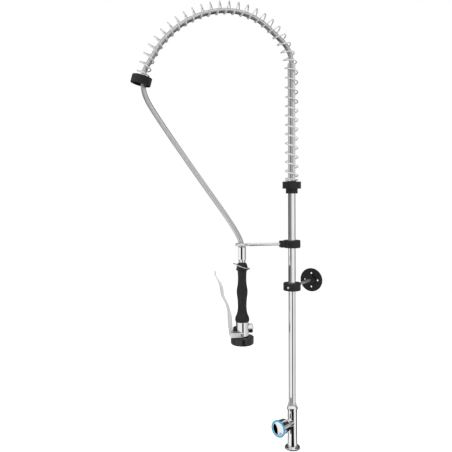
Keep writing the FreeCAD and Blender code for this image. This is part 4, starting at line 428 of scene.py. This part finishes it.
def add_hoses(materials):
    """The free hose as a cord, and the braid of the hose that the spring holds."""
    route = [in_arch(reach, height) for reach, height in FREE_HOSE_ROUTE]
    line = spline_points(route)
    free = tube_mesh("free_hose_braid", line, HOSE_RADIUS / 1000)
    free.data.materials.append(materials["braid"])
    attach(free, "overhead")
    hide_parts("free_hose")
    held_line = trail_points(0, HOSE_START, HELD_HOSE_TRAIL)
    held = tube_mesh("held_hose_braid", held_line, HOSE_RADIUS / 1000)
    held.data.materials.append(materials["braid"])
    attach(held, "overhead")
    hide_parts("held_hose")


def add_valve_spring(materials):
    """Copy of the valve spring in steel, in place of the part's own."""
    node = frame["nodes"]["valve_spring"]
    spring = new_object("valve_spring_coil", node.data.copy())
    spring.matrix_world = node.matrix_world.copy()
    spring.data.materials.clear()
    spring.data.materials.append(materials["steel"])
    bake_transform(spring)
    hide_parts("valve_spring")


def azimuth_ramp(nodes, parts, stops):
    """Grey levels round the riser: stops are (azimuth in degrees from -180, grey)."""
    angle = nodes.add("ShaderNodeMath", operation="ARCTAN2")
    nodes.link(parts, "Y", angle, 0)
    nodes.link(parts, "X", angle, 1)
    turn = nodes.add("ShaderNodeMapRange")
    turn.inputs["From Min"].default_value = -math.pi
    turn.inputs["From Max"].default_value = math.pi
    nodes.link(angle, "Value", turn, "Value")
    ramp = nodes.add("ShaderNodeValToRGB")
    elements = ramp.color_ramp.elements
    while len(elements) < len(stops):
        elements.new(0.5)
    for element, (azimuth, grey) in zip(elements, stops):
        element.position = (azimuth + 180) / 360
        element.color = (grey, grey, grey, 1)
    nodes.link(turn, "Result", ramp, "Fac")
    return ramp


def chosen_colour(nodes, chooser, plain, other):
    """The plain colour output, or the other where the chooser is 1."""
    # Sockets 6 and 7 of a colour mix are its two colours, output 2 the mixed one.
    mix = nodes.add("ShaderNodeMix", data_type="RGBA")
    nodes.tree.links.new(chooser.outputs[0], mix.inputs[0])
    nodes.tree.links.new(plain, mix.inputs[6])
    nodes.tree.links.new(other, mix.inputs[7])
    return mix.outputs[2]


def either(nodes, chooser, output, plain, other):
    """Shader that is the plain one, or the other where the chooser's output is 1."""
    mix = nodes.add("ShaderNodeMixShader")
    nodes.link(chooser, output, mix, "Fac")
    nodes.tree.links.new(plain.outputs[0], mix.inputs[1])
    nodes.tree.links.new(other.outputs[0], mix.inputs[2])
    return mix


def add_floor():
    """Pale floor that metal sees with dark fields, painted reflections as if of a photographer's black
    cards, and black in a painted shade round the foot.
    """
    turns = [2 * math.pi * i / FLOOR_SIDES for i in range(FLOOR_SIDES)]
    rim = [(FLOOR_RADIUS * math.cos(turn), FLOOR_RADIUS * math.sin(turn), 0) for turn in turns]
    data = bpy.data.meshes.new("floor")
    data.from_pydata(rim, [], [tuple(range(FLOOR_SIDES))])
    floor = new_object("floor", data)
    nodes = Nodes("floor")
    nodes.shader.inputs["Base Color"].default_value = (FLOOR_GREY, FLOOR_GREY, FLOOR_GREY, 1)
    nodes.shader.inputs["Roughness"].default_value = FLOOR_ROUGHNESS
    glow = nodes.add("ShaderNodeEmission")
    glow.inputs["Strength"].default_value = FLOOR_GLOW
    white = nodes.add("ShaderNodeAddShader")
    nodes.tree.links.new(nodes.shader.outputs[0], white.inputs[0])
    nodes.tree.links.new(glow.outputs[0], white.inputs[1])
    place = nodes.add("ShaderNodeTexCoord")
    parts = nodes.add("ShaderNodeSeparateXYZ")
    nodes.link(place, "Object", parts, "Vector")
    length = nodes.add("ShaderNodeVectorMath", operation="LENGTH")
    nodes.link(place, "Object", length, 0)
    near = nodes.math("LESS_THAN", (length, "Value"), NEAR_FLOOR_RADIUS)
    fields = chosen_colour(nodes, near, azimuth_ramp(nodes, parts, FAR_FLOOR_REFLECTIONS).outputs[0],
                           azimuth_ramp(nodes, parts, NEAR_FLOOR_REFLECTIONS).outputs[0])
    # Painted reflection for glossy rays alone, black within the foot's painted shade.
    seen = nodes.add("ShaderNodeEmission")
    nodes.tree.links.new(fields, seen.inputs["Color"])
    beyond_foot = nodes.math("GREATER_THAN", (length, "Value"), FOOT_SHADE_RADIUS)
    nodes.link(beyond_foot, "Value", seen, "Strength")
    path = nodes.add("ShaderNodeLightPath")
    mix = either(nodes, path, "Is Camera Ray", nodes.shader, white)
    mix = either(nodes, path, "Is Glossy Ray", mix, seen)
    nodes.tree.links.new(mix.outputs[0], nodes.output.inputs["Surface"])
    data.materials.append(nodes.material)


def card_material(grey):
    """Plain grey from the front and nothing from behind."""
    nodes = Nodes("card")
    glow = nodes.add("ShaderNodeEmission")
    glow.inputs["Color"].default_value = (grey, grey, grey, 1)
    clear = nodes.add("ShaderNodeBsdfTransparent")
    geometry = nodes.add("ShaderNodeNewGeometry")
    mix = either(nodes, geometry, "Backfacing", glow, clear)
    nodes.tree.links.new(mix.outputs[0], nodes.output.inputs["Surface"])
    return nodes.material


def turned_azimuths(azimuths):
    """Angles in radians from the first azimuth to the last, at most a card's step apart."""
    first, last = azimuths
    count = max(1, math.ceil((last - first) / CARD_STEP))
    return [math.radians(first + (last - first) * k / count) for k in range(count + 1)]


def add_card(corners, grey):
    """Strip of quads between the pairs of corners, seen by reflections alone."""
    faces = [(2 * k, 2 * k + 1, 2 * k + 3, 2 * k + 2) for k in range(len(corners) // 2 - 1)]
    data = bpy.data.meshes.new("card")
    data.from_pydata(corners, [], faces)
    data.materials.append(card_material(grey))
    card = new_object("card", data)
    card.visible_camera = False
    card.visible_diffuse = False
    card.visible_shadow = False
    card.visible_transmission = False


def add_cards():
    """Upright cards that face their centre, and level ones that face up."""
    for (x, y), azimuths, distance, (low, high), grey in CARDS:
        corners = []
        for angle in turned_azimuths(azimuths):
            foot = (x + distance * math.cos(angle), y + distance * math.sin(angle))
            corners += [(*foot, low), (*foot, high)]
        add_card(corners, grey)
    for (x, y), azimuths, distances, height, grey in LEVEL_CARDS:
        corners = []
        for angle in turned_azimuths(azimuths):
            for distance in distances:
                corners.append((x + distance * math.cos(angle), y + distance * math.sin(angle), height))
        add_card(corners, grey)


def add_light():
    """The lamp above and to the left of the camera, which metal doesn't show."""
    data = bpy.data.lights.new("key", "AREA")
    data.shape = "RECTANGLE"
    data.size, data.size_y = KEY_SIZE
    data.energy = KEY_POWER
    light = new_object("key", data)
    light.location = KEY_PLACE
    direction = Vector(KEY_TARGET) - Vector(KEY_PLACE)
    light.rotation_euler = direction.to_track_quat("-Z", "Y").to_euler()
    light.visible_glossy = False


class WorldNodes(Nodes):
    """The same shorthand for the world."""

    def __init__(self, name):
        self.world = bpy.data.worlds.new(name)
        self.world.use_nodes = True
        self.tree = self.world.node_tree
        self.tree.nodes.clear()
        self.output = self.add("ShaderNodeOutputWorld")


def add_world():
    """White to the camera, even light on matt surfaces, the studio's greys to metal."""
    nodes = WorldNodes("studio")
    bpy.context.scene.world = nodes.world
    place = nodes.add("ShaderNodeTexCoord")
    parts = nodes.add("ShaderNodeSeparateXYZ")
    nodes.link(place, "Generated", parts, "Vector")
    above = nodes.math("GREATER_THAN", (parts, "Z"), 0)
    fields = chosen_colour(nodes, above, azimuth_ramp(nodes, parts, LEVEL_FIELDS).outputs[0],
                           azimuth_ramp(nodes, parts, HORIZON_FIELDS).outputs[0])
    upper = nodes.math("GREATER_THAN", (parts, "Z"), UPPER_START)
    fields = chosen_colour(nodes, upper, fields, azimuth_ramp(nodes, parts, UPPER_FIELDS).outputs[0])
    studio = nodes.add("ShaderNodeBackground")
    nodes.tree.links.new(fields, studio.inputs["Color"])
    white = nodes.add("ShaderNodeBackground")
    white.inputs["Color"].default_value = (1, 1, 1, 1)
    top = nodes.math("GREATER_THAN", (parts, "Z"), TOP_START)
    studio = either(nodes, top, "Value", studio, white)
    even = nodes.add("ShaderNodeBackground")
    even.inputs["Color"].default_value = (EVEN_LIGHT, EVEN_LIGHT, EVEN_LIGHT, 1)
    path = nodes.add("ShaderNodeLightPath")
    mix = either(nodes, path, "Is Glossy Ray", even, studio)
    mix = either(nodes, path, "Is Camera Ray", mix, white)
    nodes.tree.links.new(mix.outputs[0], nodes.output.inputs["Surface"])


add_camera()
materials = make_materials()
add_hoses(materials)
add_valve_spring(materials)
dress_nodes(materials)
add_floor()
add_cards()
add_world()
add_light()
bpy.context.scene.view_settings.view_transform = "Standard"
